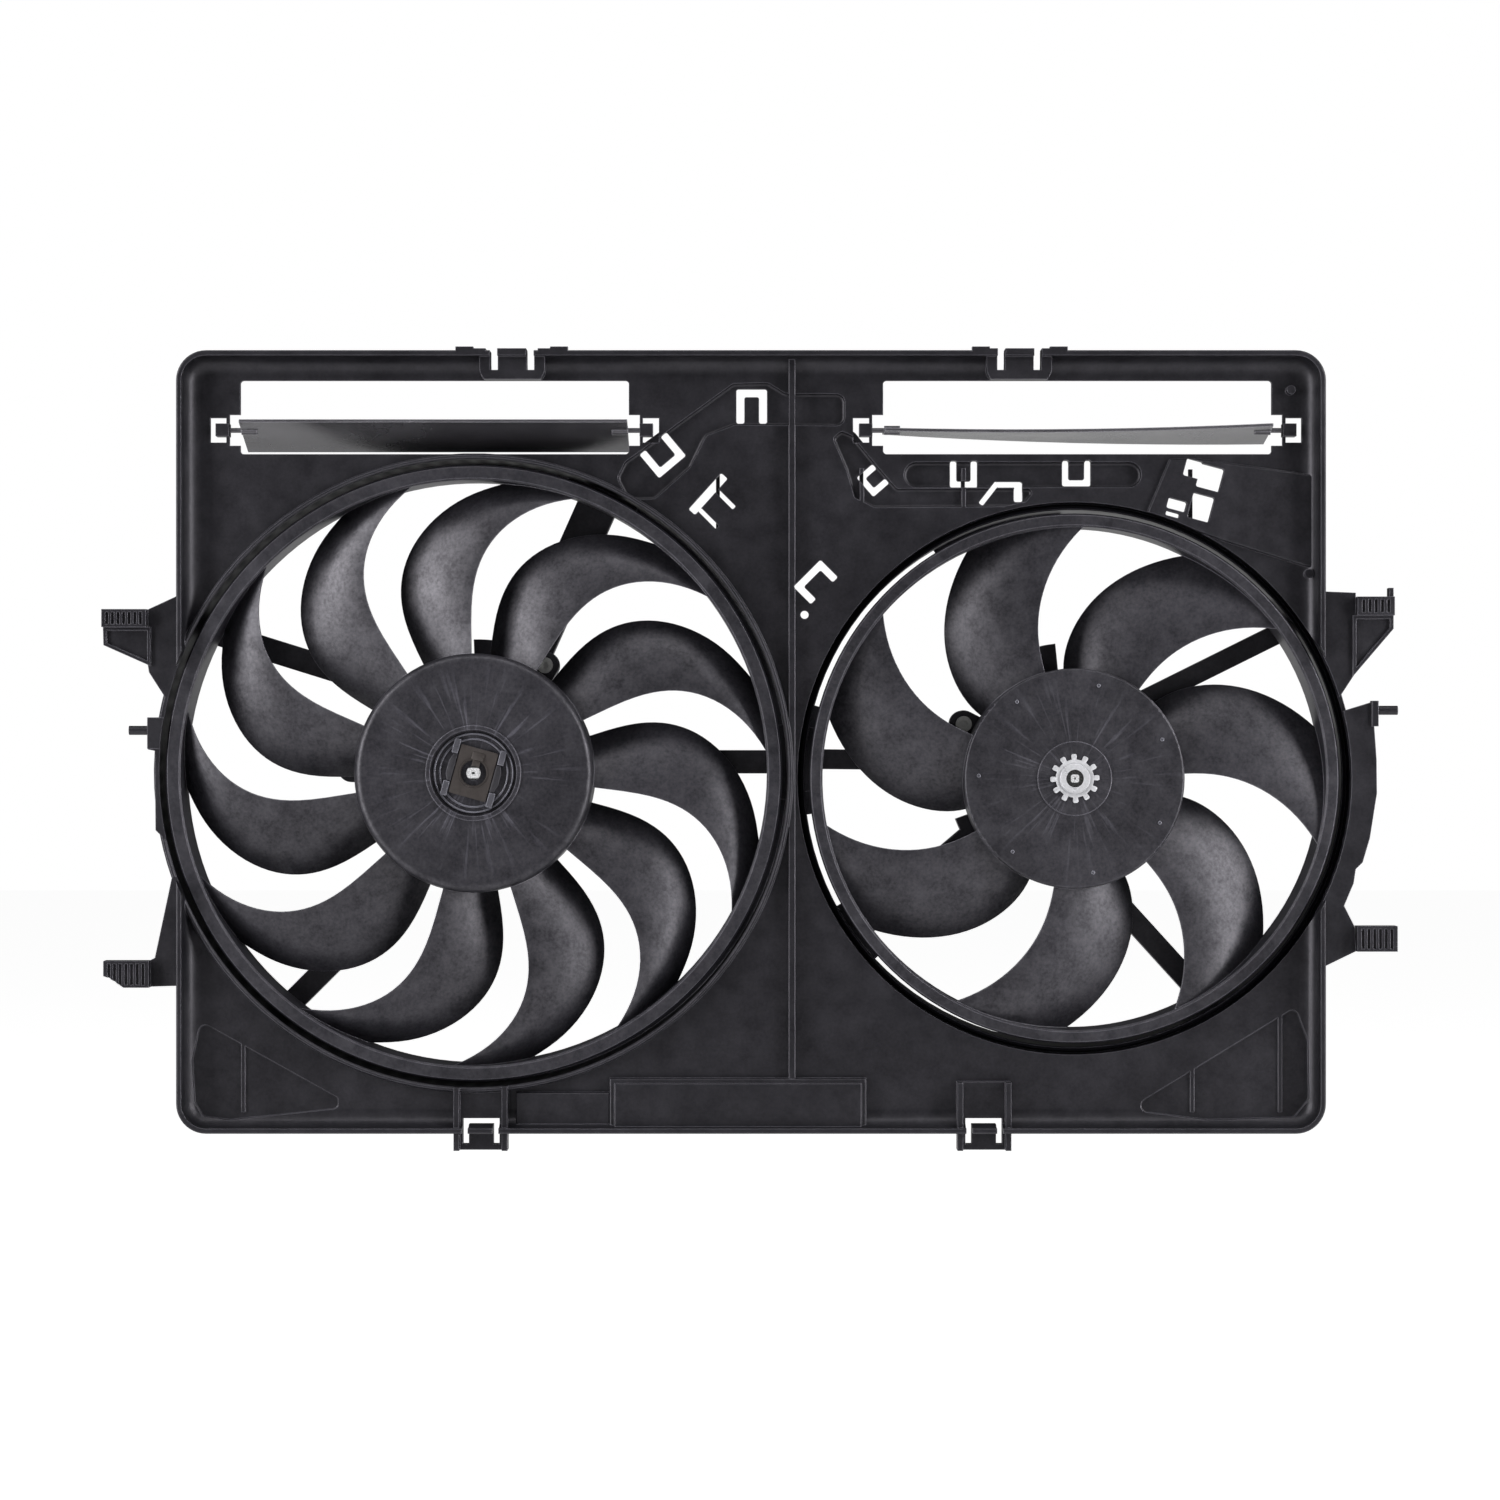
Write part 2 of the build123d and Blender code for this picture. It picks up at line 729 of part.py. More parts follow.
def sunk(face, depth, floor_radius):
    """The cut for a pocket in the plate's front, rounded at its floor."""
    cut = outline(face, rim_depth - panel_height, rim_depth + depth)
    return fillet(cut.faces().sort_by(Axis.Y)[-1].edges(), floor_radius)


def backing(face, depth):
    """The swelling behind a pocket that keeps the plate's thickness."""
    return outline(offset(face, plate_thickness), rim_depth, plate_back + depth)


def pockets():
    """Outline, depth and floor rounding of each pocket in the plate."""
    start, end, width = bar_pocket
    return [
        (rounded_outline(upper_channel, channel_round), channel_depth, channel_floor_round),
        (rounded_outline(right_channel, channel_round / 2), channel_depth, channel_floor_round),
        (capsule(start, end, width), bar_pocket_depth, channel_floor_round),
        (rounded_outline(left_facet, facet_round), facet_depth, facet_depth / 2),
        (rounded_outline(right_facet, facet_round), facet_depth, facet_depth / 2),
    ]


def boxes():
    """The raised cable boxes along the bottom, the large one with a border."""
    bottom = -body_height / 2 + rim_wall
    top = -body_height / 2 + box_height
    small_top = -body_height / 2 + small_box_height
    border = block(box_left, box_right, bottom, top, box_front + box_border_height, rim_depth + cut_margin)
    panel = block(box_left + box_border, box_right - box_border, bottom, top - box_border,
                  box_front, rim_depth)
    small = block(small_box_left, box_left, bottom, small_top, small_box_front, rim_depth + cut_margin)
    rounded = []
    for piece in (border, panel, small):
        front_edges = piece.faces().sort_by(Axis.Y)[0].edges()
        rounded.append(fillet(front_edges.sort_by(Axis.Z)[1:], rim_edge_round))
    return rounded


def raised_panel():
    pad = plate(right_panel, rim_depth - panel_height, rim_depth + cut_margin)
    return fillet(pad.faces().sort_by(Axis.Y)[0].edges(), panel_round)


def plate_details():
    top = body_height / 2 - rim_wall
    pieces = [
        block(rib_x - rib_width / 2, rib_x + rib_width / 2, -body_height / 2 + box_height, top,
              rib_front, rim_depth + cut_margin),
        raised_panel(),
    ]
    pieces += [disc(boss_spot_radius, spot, rim_depth - panel_height - boss_spot_height, rim_depth)
               for spot in boss_spots]
    return pieces + boxes()


def plate_slots():
    back = plate_back + bar_pocket_depth + cut_margin
    cuts = []
    for across, up, width, height, turn, slot in hook_slots:
        shape = hook(width, height, slot)
        shape = fillet(shape.vertices(), slot_corner)
        cuts.append(outline(Pos(across, up) * Rot(0, 0, turn) * shape, 0, back))
    for across, up, length, width, turn in bar_slots:
        shape = RectangleRounded(length, width, min(slot_corner, width / 3))
        cuts.append(outline(Pos(across, up) * Rot(0, 0, turn) * shape, 0, back))
    cuts.append(disc(cable_hole_radius, cable_hole, 0, back))
    return cuts


def back_ribs():
    """Upright stiffening ribs on the engine side of the plate, between its edges and the collars."""
    half_height = body_height / 2 - back_rib_inset - rim_wall
    ribs = [block(across, across + back_rib_width, -half_height, window_bottom - back_rib_inset,
                  rim_depth, plate_back + back_rib_height) for across in back_rib_xs]
    walls = [disc(fan.bore + fan.collar_wall / 2, fan.centre, 0, fan.collar_back) for fan in fans]
    return Part() + ribs - walls


def shroud():
    shapes = pockets()
    body = tray() + plate_details() + side_tabs() + [backing(face, depth) for face, depth, _ in shapes]
    body -= [sunk(*shape) for shape in shapes]
    body += back_ribs()
    for clip in (left_top_clip, right_top_clip):
        body += top_clip(*clip)
    for centre_x in bottom_clip_xs:
        body += bottom_clip(centre_x)
    for fan in fans:
        if fan.groove > 0:
            body -= disc(groove_radius(fan), fan.centre, -cut_margin, fan.collar_front + groove_depth)
            body += groove_wall(fan)
        body += collar(fan)
        body -= disc(fan.bore, fan.centre, -cut_margin, fan.collar_back - fan.collar_wall)
        body += flange_arcs(fan)
    body -= plate_slots()
    for centre_x in (left_window_x, right_window_x):
        body -= window(centre_x)
        for side in (-1, 1):
            body -= hinge_cut(centre_x, side)
            body += hinge_bearing(centre_x, side)
            body -= pivot_hole(centre_x, side)
    for clip in (left_top_clip, right_top_clip):
        body -= top_clip_slots(clip[0])
    for centre_x in bottom_clip_xs:
        body -= bottom_clip_slot(centre_x)
    for fan in fans:
        body += [strut(fan, *place) for place in fan.struts]
        body += motor_seat(fan)
        body -= screw_holes(fan)
    return body


# Flaps

def flap(centre_x, opening, twist, sag):
    """A full width flap that hangs off its pivot line, at its opening angle from closed."""
    half = window_width / 2 - flap_gap
    bow = sag + flap_thickness
    above = math.sqrt((window_top - flap_gap - hinge_height) ** 2 - bow ** 2)
    below = math.sqrt((hinge_height - window_bottom - flap_gap) ** 2 - bow ** 2)
    sections = []
    for number in range(flap_stations):
        share = 2 * number / (flap_stations - 1) - 1
        angle = opening - share * twist
        drop = sag * (1 - share * share)
        section = Pos(0, (above - below) / 2) * Rectangle(flap_thickness, above + below)
        middle = (centre_x + share * half, hinge_depth, hinge_height - drop)
        home = Plane(middle, x_dir=(0, 1, 0), z_dir=(1, 0, 0))
        sections.append(home * Rot(0, 0, -angle) * section)
    panel = loft(sections)
    for side in (-1, 1):
        end = centre_x + side * half
        barrel = Pos(end - side * pivot_barrel_length / 2, hinge_depth, hinge_height) * Rot(0, 90, 0)
        panel += barrel * Cylinder(pivot_barrel_radius, pivot_barrel_length)
        reach = notch_width + hinge_web + bearing_width + flap_gap
        pin = Pos(end + side * (reach - pivot_barrel_length) / 2, hinge_depth, hinge_height) * Rot(0, 90, 0)
        panel += pin * Cylinder(pivot_pin_radius, reach + pivot_barrel_length)
    return panel


# Fan wheels

def blade_section(fan, share):
    """Closed outline of a blade at a share of its length, on a plane across its radius."""
    radius = fan.hub_radius + share * (fan.ring_bore - fan.hub_radius)
    outer_share = max(share, 0.0)
    middle = fan.blade_first - fan.blade_sweep * outer_share ** fan.blade_sweep_power
    growth = outer_share ** fan.blade_span_power
    span = fan.blade_root_span + (fan.blade_tip_span - fan.blade_root_span) * growth
    half_chord = radius * math.radians(span / 2)
    back = fan.blade_root_back + (fan.blade_tip_back - fan.blade_root_back) * outer_share
    front = fan.blade_front
    half = fan.blade_thickness / 2
    edge = half / 2
    half_chord -= edge
    camber = fan.blade_camber
    lead_front = (-half_chord, front)
    lead_back = (-half_chord, front + 2 * half)
    tail_front = (half_chord, back - 2 * half)
    tail_back = (half_chord, back)
    crown = (0.0, (front + back) / 2 - camber - half)
    belly = (0.0, (front + back) / 2 - camber + half)
    edges = ThreePointArc(lead_front, crown, tail_front)
    edges += Line(tail_front, tail_back)
    edges += ThreePointArc(tail_back, belly, lead_back)
    edges += Line(lead_back, lead_front)
    across, up = polar(radius, middle)
    tangent = polar(1.0, middle + 90)
    outward = polar(1.0, middle)
    home = Plane((across, 0, up), x_dir=(tangent[0], 0, tangent[1]), z_dir=(-outward[0], 0, -outward[1]))
    return home * make_face(edges)


blade_shares = (-0.12, 0.05, 0.25, 0.45, 0.65, 0.85, 1.06)


def blade(fan):
    """One blade at the fan's centre, trimmed into the hub wall and the ring wall."""
    raw = loft([blade_section(fan, share) for share in blade_shares])
    outer = fan.ring_bore + fan.ring_wall / 2
    inner = fan.hub_radius - fan.hub_wall / 2
    keep = tube(outer, inner, (0, 0), 0, fan.hub_back + cut_margin)
    return Pos(fan.centre[0], 0, fan.centre[1]) * (raw & keep)


def fan_ring(fan):
    """The ring around the blade tips: a wall with a flange at its front."""
    lip = fan.ring_front + fan.ring_wall
    points = [
        (fan.ring_bore, fan.ring_front + rim_edge_round),
        (fan.ring_bore + rim_edge_round, fan.ring_front),
        (fan.ring_radius - rim_edge_round, fan.ring_front),
        (fan.ring_radius, fan.ring_front + rim_edge_round),
        (fan.ring_radius, lip + 2 * fan.ring_wall),
        (fan.ring_radius - fan.ring_wall / 2, lip + 2 * fan.ring_wall),
        (fan.ring_radius - fan.ring_wall / 2, lip),
        (fan.ring_bore + fan.ring_wall, lip),
        (fan.ring_bore + fan.ring_wall, fan.ring_back),
        (fan.ring_bore, fan.ring_back),
    ]
    return turned(points, fan.centre)


def hub_shell(fan):
    """The cup of the hub, open towards the motor, with its boss on the shaft."""
    inner = fan.hub_radius - fan.hub_wall
    face_back = fan.hub_front + fan.hub_wall + recess_depth
    bore = fan.shaft_radius + seat_gap
    cup = disc(fan.hub_radius, fan.centre, fan.hub_front, fan.hub_back)
    cup = fillet(cup.faces().sort_by(Axis.Y)[0].edges(), fan.hub_round)
    cup -= disc(inner, fan.centre, face_back, fan.hub_back + cut_margin)
    cup += disc(fan.boss_radius, fan.centre, face_back - cut_margin, fan.boss_back)
    rib = block(fan.centre[0] + fan.boss_radius - cut_margin, fan.centre[0] + inner + cut_margin,
                fan.centre[1] - fan.hub_wall / 4, fan.centre[1] + fan.hub_wall / 4,
                face_back - cut_margin, fan.boss_back - fan.hub_wall)
    step = 360 / fan.hub_rib_count
    cup += spread([step * number for number in range(fan.hub_rib_count)], fan.centre, rib)
    return cup - disc(bore, fan.centre, fan.hub_front - cut_margin, fan.boss_back + cut_margin)


def wheel(fan):
    turns = [360 / fan.blade_count * number for number in range(fan.blade_count)]
    return hub_shell(fan) + fan_ring(fan) + spread(turns, fan.centre, blade(fan))


def main_wheel():
    """The main fan, with its recess for the retaining clip."""
    fan = main_fan
    lip = tube(recess_radius + recess_lip_width, recess_radius, fan.centre,
               fan.hub_front - recess_lip_height, fan.hub_front + cut_margin)
    recess = disc(recess_radius, fan.centre, fan.hub_front - cut_margin, fan.hub_front + recess_depth)
    return (wheel(fan) - recess) + lip


def second_wheel():
    """The second fan, with the low disc that seats its lock washer."""
    fan = second_fan
    seat = tube(disc_radius, fan.shaft_radius + seat_gap, fan.centre,
                fan.hub_front - disc_height, fan.hub_front + cut_margin)
    return wheel(fan) + seat


def fan_clip():
    """The sprung plate that holds the main fan on its shaft."""
    fan = main_fan
    back = fan.hub_front + recess_depth
    clip = RectangleRounded(clip_width, clip_height, recess_lip_width) - Circle(fan.shaft_radius + seat_gap)
    solid = outline(clip, back - clip_leg_height - clip_thickness, back - clip_leg_height)
    for side in (-1, 1):
        for end in (-1, 1):
            across = side * (clip_width - clip_leg_width) / 2
            up = end * (clip_height - clip_leg_width) / 2
            leg = Pos(across, up) * Rectangle(clip_leg_depth, clip_leg_width)
            solid += outline(leg, back - clip_leg_height - cut_margin / 2, back)
    return Pos(fan.centre[0], 0, fan.centre[1]) * Rot(0, -clip_turn, 0) * solid


def lock_washer():
    """The toothed washer pressed on the second fan's shaft."""
    fan = second_fan
    back = fan.hub_front - disc_height
    star = Circle(washer_root_radius)
    step = 360 / washer_teeth
    for number in range(washer_teeth):
        star += sector(washer_tip_radius, washer_root_radius - cut_margin, step * number,
                       step * washer_tooth_share / 2)
    star -= Circle(fan.shaft_radius + seat_gap)
    crown = Circle(washer_collar_radius) - Circle(fan.shaft_radius + seat_gap)
    solid = outline(star, back - washer_thickness, back)
    solid += outline(crown, back - washer_thickness - washer_collar_height, back - washer_thickness)
    return Pos(fan.centre[0], 0, fan.centre[1]) * solid


# Motors

def shaft(fan):
    back = fan.can_back + end_plate_thickness + bearing_length
    rod = disc(fan.shaft_radius, fan.centre, fan.shaft_front, back)
    if fan.shaft_flat > 0:
        for side in (-1, 1):
            edge = fan.centre[0] + side * (fan.shaft_radius - fan.shaft_flat)
            far = edge + side * fan.shaft_radius
            rod -= block(min(edge, far), max(edge, far), fan.centre[1] - fan.shaft_radius,
                         fan.centre[1] + fan.shaft_radius, 0, fan.hub_front + cut_margin)
    return rod


def motor_can(fan):
    """The drawn steel can with its bearing neck and three ears."""
    inner = fan.can_radius - can_wall
    neck = fan.bearing_radius + seat_gap
    floor = fan.can_front + can_wall
    neck_back = floor + bearing_length
    points = [
        (neck, fan.can_front),
        (fan.can_radius, fan.can_front),
        (fan.can_radius, fan.can_back),
        (inner, fan.can_back),
        (inner, floor),
        (neck + neck_wall, floor),
        (neck + neck_wall, neck_back),
        (neck, neck_back),
    ]
    return turned(points, fan.centre) + [motor_ear(fan, angle) for angle in fan.screw_angles]


def motor_ear(fan, angle):
    """One ear of the can, with its screw hole."""
    root = fan.can_radius - can_wall / 2
    ear = capsule(polar(root, angle), polar(fan.screw_radius, angle), 2 * ear_radius) - Circle(root)
    ear -= Pos(*polar(fan.screw_radius, angle)) * Circle(screw_shank_radius + screw_hole_clearance)
    return outline(Pos(*fan.centre) * ear, strut_front - ear_thickness, strut_front)


def motor_screws(fan):
    heads = []
    head_back = strut_front - ear_thickness
    for angle in fan.screw_angles:
        place = from_centre(fan.centre, fan.screw_radius, angle)
        head = disc(screw_head_radius, place, head_back - screw_head_height, head_back)
        recess = outline(Pos(*place) * RegularPolygon(screw_shank_radius, 6),
                         head_back - screw_head_height - cut_margin, head_back - screw_head_height / 2)
        shank = disc(screw_shank_radius, place, head_back, head_back + screw_length)
        heads.append(head - recess + shank)
    return Compound(children=heads)


def bearing(fan, front):
    """A plain bearing bush around the shaft."""
    return tube(fan.bearing_radius, fan.shaft_radius + running_fit, fan.centre, front, front + bearing_length)


def magnets(fan):
    """Four arc magnets against the wall of the can."""
    outer = fan.can_radius - can_wall - seat_gap
    front = fan.core_front - winding_end / 2
    back = fan.core_back + winding_end / 2
    arc = outline(Pos(*fan.centre) * sector(outer, fan.magnet_bore, 0, magnet_span / 2), front, back)
    angles = [360 / magnet_count * (number + 0.5) for number in range(magnet_count)]
    return Compound(children=spread(angles, fan.centre, arc))


def slot_shape(fan, gap):
    """Outline of one winding slot of the core, shrunk by a gap all round."""
    floor = fan.shaft_radius + slot_floor
    width = 2 * floor * math.tan(math.pi / slot_count) - tooth_width - 2 * gap
    inner = floor + gap
    outer = fan.core_radius - slot_lip - gap
    return Pos((inner + outer) / 2, 0) * Rectangle(outer - inner, width)


def core_slots(fan, gap):
    step = 360 / slot_count
    return [Rot(0, 0, step * number) * slot_shape(fan, gap) for number in range(slot_count)]


def rotor_core(fan):
    """The laminated stack on the shaft, with its winding slots."""
    face = Circle(fan.core_radius) - Circle(fan.shaft_radius + seat_gap)
    face -= core_slots(fan, 0)
    return outline(Pos(*fan.centre) * face, fan.core_front, fan.core_back)


def windings(fan):
    """The copper coils: a bundle at each end, joined through the slots."""
    inner = fan.shaft_radius + slot_floor + winding_gap
    outer = fan.core_radius - slot_lip - winding_gap
    front = fan.core_front - winding_end + cut_margin
    back = fan.core_back + winding_end - cut_margin
    coil = tube(outer, inner, fan.centre, front, fan.core_front)
    coil += tube(outer, inner, fan.centre, fan.core_back, back)
    bars = core_slots(fan, winding_gap)
    coil += [outline(Pos(*fan.centre) * bar, front, back) for bar in bars]
    return coil


def commutator(fan):
    """The copper barrel behind the core, grooved between its segments."""
    barrel = Circle(fan.commutator_radius) - Circle(fan.shaft_radius + seat_gap)
    step = 360 / slot_count
    groove = Pos(fan.commutator_radius, 0) * Rectangle(2 * commutator_groove, commutator_groove)
    barrel -= [Rot(0, 0, step * (number + 0.5)) * groove for number in range(slot_count)]
    front = fan.commutator_front
    return outline(Pos(*fan.centre) * barrel, front, front + commutator_length)


def brush_angles(fan):
    return [360 / fan.brush_count * number + brush_turn for number in range(fan.brush_count)]


def brush_depths(fan):
    """Front and back of the brushes, over the middle of the commutator."""
    middle = fan.commutator_front + commutator_length / 2
    return middle - brush_height / 2, middle + brush_height / 2


def radial_block(fan, start, length, width, front, back):
    left = fan.centre[0] + start
    return block(left, left + length, fan.centre[1] - width / 2, fan.centre[1] + width / 2, front, back)


def brushes(fan):
    front, back = brush_depths(fan)
    start = fan.commutator_radius + brush_gap
    brush = radial_block(fan, start, brush_length, brush_width, front, back)
    return Compound(children=spread(brush_angles(fan), fan.centre, brush))


def brush_springs(fan):
    """The rolled springs that press the brushes on the commutator."""
    front, back = brush_depths(fan)
    start = fan.commutator_radius + brush_gap + brush_length + seat_gap + spring_radius
    place = (fan.centre[0] + start, fan.centre[1])
    roll = tube(spring_radius, spring_radius - spring_wall, place, front + spring_inset, back - spring_inset)
    return Compound(children=spread(brush_angles(fan), fan.centre, roll))


def brush_card(fan):
    """The insulating card that carries the brush boxes around the commutator."""
    front, back = brush_depths(fan)
    face_back = back + brush_card_thickness
    card_bore = fan.commutator_radius + brush_card_gap
    card = tube(fan.can_radius - can_wall - seat_gap, card_bore, fan.centre, back, face_back)
    start = fan.commutator_radius + brush_box_gap
    length = brush_length + 2 * spring_radius - brush_box_overlap
    outer = brush_width + 2 * (brush_box_wall + seat_gap)
    box = radial_block(fan, start, length, outer, front - brush_box_wall, back)
    well = radial_block(fan, start - cut_margin, length + 2 * cut_margin, brush_width + 2 * seat_gap, front, back)
    boxes = spread(brush_angles(fan), fan.centre, box - well)
    return card + boxes


def end_plate(fan):
    """The rear cover of the motor, with its bearing neck."""
    neck = fan.bearing_radius + seat_gap
    back = fan.can_back + end_plate_thickness
    neck_back = back + bearing_length
    points = [
        (neck, fan.can_back),
        (fan.can_radius, fan.can_back),
        (fan.can_radius, back),
        (neck + neck_wall, back),
        (neck + neck_wall, neck_back + neck_wall),
        (0, neck_back + neck_wall),
        (0, neck_back + seat_gap),
        (neck, neck_back + seat_gap),
    ]
    return turned(points, fan.centre)


def socket_place(fan):
    return from_centre(fan.centre, fan.can_radius * socket_radius_share, fan.socket_angle)


def socket(fan):
    """The motor's electrical inlet on the rear cover, without its plug."""
    front = fan.can_back + end_plate_thickness
    place = Pos(*socket_place(fan)) * Rot(0, 0, fan.socket_angle)
    shell = RectangleRounded(socket_height, socket_width, socket_wall)
    inside = RectangleRounded(socket_height - 2 * socket_wall, socket_width - 2 * socket_wall, socket_wall / 2)
    body = outline(place * shell, front, front + socket_depth)
    body -= outline(place * inside, front + socket_floor, front + socket_depth + cut_margin)
    for side in (-1, 1):
        hole = place * Pos(0, side * terminal_pitch / 2) * Rectangle(
            terminal_thickness + 2 * seat_gap, terminal_width + 2 * seat_gap)
        body -= outline(hole, front - cut_margin, front + socket_floor + cut_margin)
    return body


def terminals(fan):
    front = fan.can_back + end_plate_thickness
    place = Pos(*socket_place(fan)) * Rot(0, 0, fan.socket_angle)
    blades = []
    for side in (-1, 1):
        blade_face = place * Pos(0, side * terminal_pitch / 2) * Rectangle(terminal_thickness, terminal_width)
        blades.append(outline(blade_face, front, front + terminal_length))
    return Compound(children=blades)


def motor_nodes(fan):
    """Every piece of one motor, by node name."""
    rear_bearing_front = fan.can_back + end_plate_thickness
    return {
        fan.name + "_motor_can": motor_can(fan),
        fan.name + "_motor_screws": motor_screws(fan),
        fan.name + "_front_bearing": bearing(fan, fan.can_front + can_wall),
        fan.name + "_rear_bearing": bearing(fan, rear_bearing_front),
        fan.name + "_magnets": magnets(fan),
        fan.name + "_motor_shaft": shaft(fan),
        fan.name + "_rotor_core": rotor_core(fan),
        fan.name + "_rotor_windings": windings(fan),
        fan.name + "_commutator": commutator(fan),
        fan.name + "_brushes": brushes(fan),
        fan.name + "_brush_springs": brush_springs(fan),
        fan.name + "_brush_card": brush_card(fan),
        fan.name + "_end_plate": end_plate(fan),
        fan.name + "_motor_socket": socket(fan),
        fan.name + "_motor_terminals": terminals(fan),
    }


def all_nodes():
    nodes = {
        "shroud": shroud(),
        "left_flap": flap(left_window_x, left_flap_opening, 0.0, 0.0),
        "right_flap": flap(right_window_x, right_flap_opening, right_flap_twist, right_flap_sag),
        "main_fan_wheel": main_wheel(),
        "main_fan_clip": fan_clip(),
        "second_fan_wheel": second_wheel(),
        "second_fan_lock_washer": lock_washer(),
    }
    for fan in fans:
        nodes.update(motor_nodes(fan))
    return nodes


for node, shape in all_nodes().items():
    export_step(shape, "parts/" + node + ".step")
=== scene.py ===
"""Looks of a twin radiator fan module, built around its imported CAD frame."""

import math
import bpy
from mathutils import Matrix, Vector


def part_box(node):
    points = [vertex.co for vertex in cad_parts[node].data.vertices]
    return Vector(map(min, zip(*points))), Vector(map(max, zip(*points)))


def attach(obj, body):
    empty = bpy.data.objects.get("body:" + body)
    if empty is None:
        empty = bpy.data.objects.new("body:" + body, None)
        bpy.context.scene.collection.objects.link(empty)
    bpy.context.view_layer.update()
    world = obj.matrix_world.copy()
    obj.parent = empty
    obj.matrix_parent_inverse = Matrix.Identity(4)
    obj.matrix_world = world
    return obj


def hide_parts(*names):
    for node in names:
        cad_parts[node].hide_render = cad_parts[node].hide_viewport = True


bl_info = {
    "name": "Twin radiator fan module",
    "version": (1, 0, 0),
    "blender": (4, 5, 0),
    "location": "View3D > Sidebar > Fan module",
    "description": "Builds the looks of a twin radiator fan module around its packed CAD frame",
    "category": "Object",
}

import bmesh
import bpy
from bpy.props import FloatProperty, FloatVectorProperty, PointerProperty
from mathutils import Matrix, Vector

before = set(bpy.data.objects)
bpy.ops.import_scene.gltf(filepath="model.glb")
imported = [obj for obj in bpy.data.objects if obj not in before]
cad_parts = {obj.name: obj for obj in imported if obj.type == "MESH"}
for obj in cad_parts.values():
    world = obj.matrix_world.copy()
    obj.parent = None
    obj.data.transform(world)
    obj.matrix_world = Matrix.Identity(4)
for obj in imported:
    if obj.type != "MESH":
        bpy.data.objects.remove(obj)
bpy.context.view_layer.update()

MM = 0.001
MAIN_CENTRE = Vector((-157.4, 0.0, -17.6)) * MM
SECOND_CENTRE = Vector((183.6, 0.0, -20.7)) * MM

# Rings about a fan's axis where little light gets in, with their two radii in millimetres, where shade
# is painted into the colour. Their painted shade fades out past each radius, and between two depths
# behind the wheel.
SHROUD_SHADE_GAPS = (
    (MAIN_CENTRE, 174.6, 178.2),
    (SECOND_CENTRE, 150.3, 152.2),
    (SECOND_CENTRE, 153.9, 156.6),
)
MAIN_WHEEL_SHADE_GAPS = ((MAIN_CENTRE, 174.2, 180.0),)
SECOND_WHEEL_SHADE_GAPS = ((SECOND_CENTRE, 150.1, 156.0),)
GAP_FADE = 0.4
GAP_DEPTHS = (40.0, 43.0)

# Patterns of the black plastic: waves per millimetre, depths in millimetres and shares
PLASTIC = {
    "cloud_scale": 0.018, "patch_scale": 0.09, "speck_scale": 0.5, "cloud_share": 0.65,
    "patch_share": 0.5, "gloss_spread": 0.07, "grain_depth": 0.06, "streak_gloss": 0.16,
    "streak_bump": 0.12, "streak_depth": 0.2, "painted_edge_light": 7.0, "painted_edge_shine": 0.5,
    "dark": 0.75, "light": 1.35, "tint": (0.95, 0.92, 1.0, 1.0),
}
# Flow streaks of the hubs: pattern scales, and the radii in millimetres between which they fade
STREAKS = {"around": 9.0, "outwards": 12.0, "scale": 2.1, "inner": 30.0, "outer": 66.0}

# The small forms on the two hubs, in millimetres and degrees about each hub's middle
CLIP = {
    "half_width": 10.8, "half_height": 14.2, "corner": 1.2, "corner_steps": 11, "thickness": 1.0,
    "turn": -15.5, "eye_radius": 7.2, "eye_first": 40.0, "rim": 0.9,
    "latch": (7.6, 11.6), "latch_half": 3.4, "latch_rise": 0.9, "latch_edge": 0.3,
    "arm_end": 3.6, "arm_lap": 0.6, "arm_half": 2.2, "arm_rise": 0.5, "sunk": 0.3, "edge": 0.2,
    "leg_inset": (1.5, 2.0), "leg_half": (1.2, 1.5),
}
POSTS = {
    "across": 13.4, "up": 12.4, "half_width": 1.8, "half_height": 4.2, "rise": 3.2, "edge": 0.4,
}
PADS = {
    "near": 0.5, "far": 4.6, "half_height": 8.0, "flat": 3.5, "slant": 1.6, "rise": 2.4, "edge": 0.6,
}
# Each ring's inner radius and rise, where its top starts and ends, and its width
RECESS_STEPS = {"rings": ((21.6, 1.6), (18.6, 0.7)), "top": (0.3, 1.1), "width": 1.4}
# How deep the forms in the recess go into its floor
FLOOR_LAP = 0.4
# Halves are half a tooth's width, at its root, its rounding and its tip, as shares of the pitch
WASHER = {
    "teeth": 12, "tip": 13.9, "tip_round": 0.8, "root": 10.8, "root_lap": 1.0,
    "halves": (0.24, 0.23, 0.15), "thickness": 0.8, "edge": 0.12, "turn": 2.0,
    "collar": 8.6, "bore": 5.0, "roll": 0.35, "shoulder": 0.5, "foot": 0.75,
    "body": 0.9, "body_side": 0.7, "body_edge": 0.2,
}
MARKS = {"count": 7, "first": 24.0, "radius": 54.4, "size": 1.1, "height": 0.3, "front": 8.0}
# Steps around a large ring, and the distance at which a turned shape's corners become one
RING_STEPS = 96
SPIN_MERGE = 0.001

# The front end of each shaft: half width and half height of its bright middle, in millimetres
SHAFT_ENDS = (
    ("main_motor_shaft", MAIN_CENTRE, 3.7, 2.8),
    ("second_motor_shaft", SECOND_CENTRE, 2.2, 2.2),
)

# Each lamp's place, width and height in metres, and the setting that holds its power
LAMPS = (
    ("left_lamp", (-1.5, -0.8, 0.3), 0.5, 1.6, "side_lamps"),
    ("right_lamp", (1.5, -0.8, 0.3), 0.5, 1.6, "side_lamps"),
    ("top_lamp", (0.0, -0.7, 1.7), 2.4, 0.6, "top_lamp"),
    ("front_lamp", (0.0, -2.3, 1.3), 2.2, 1.0, "front_lamp"),
)
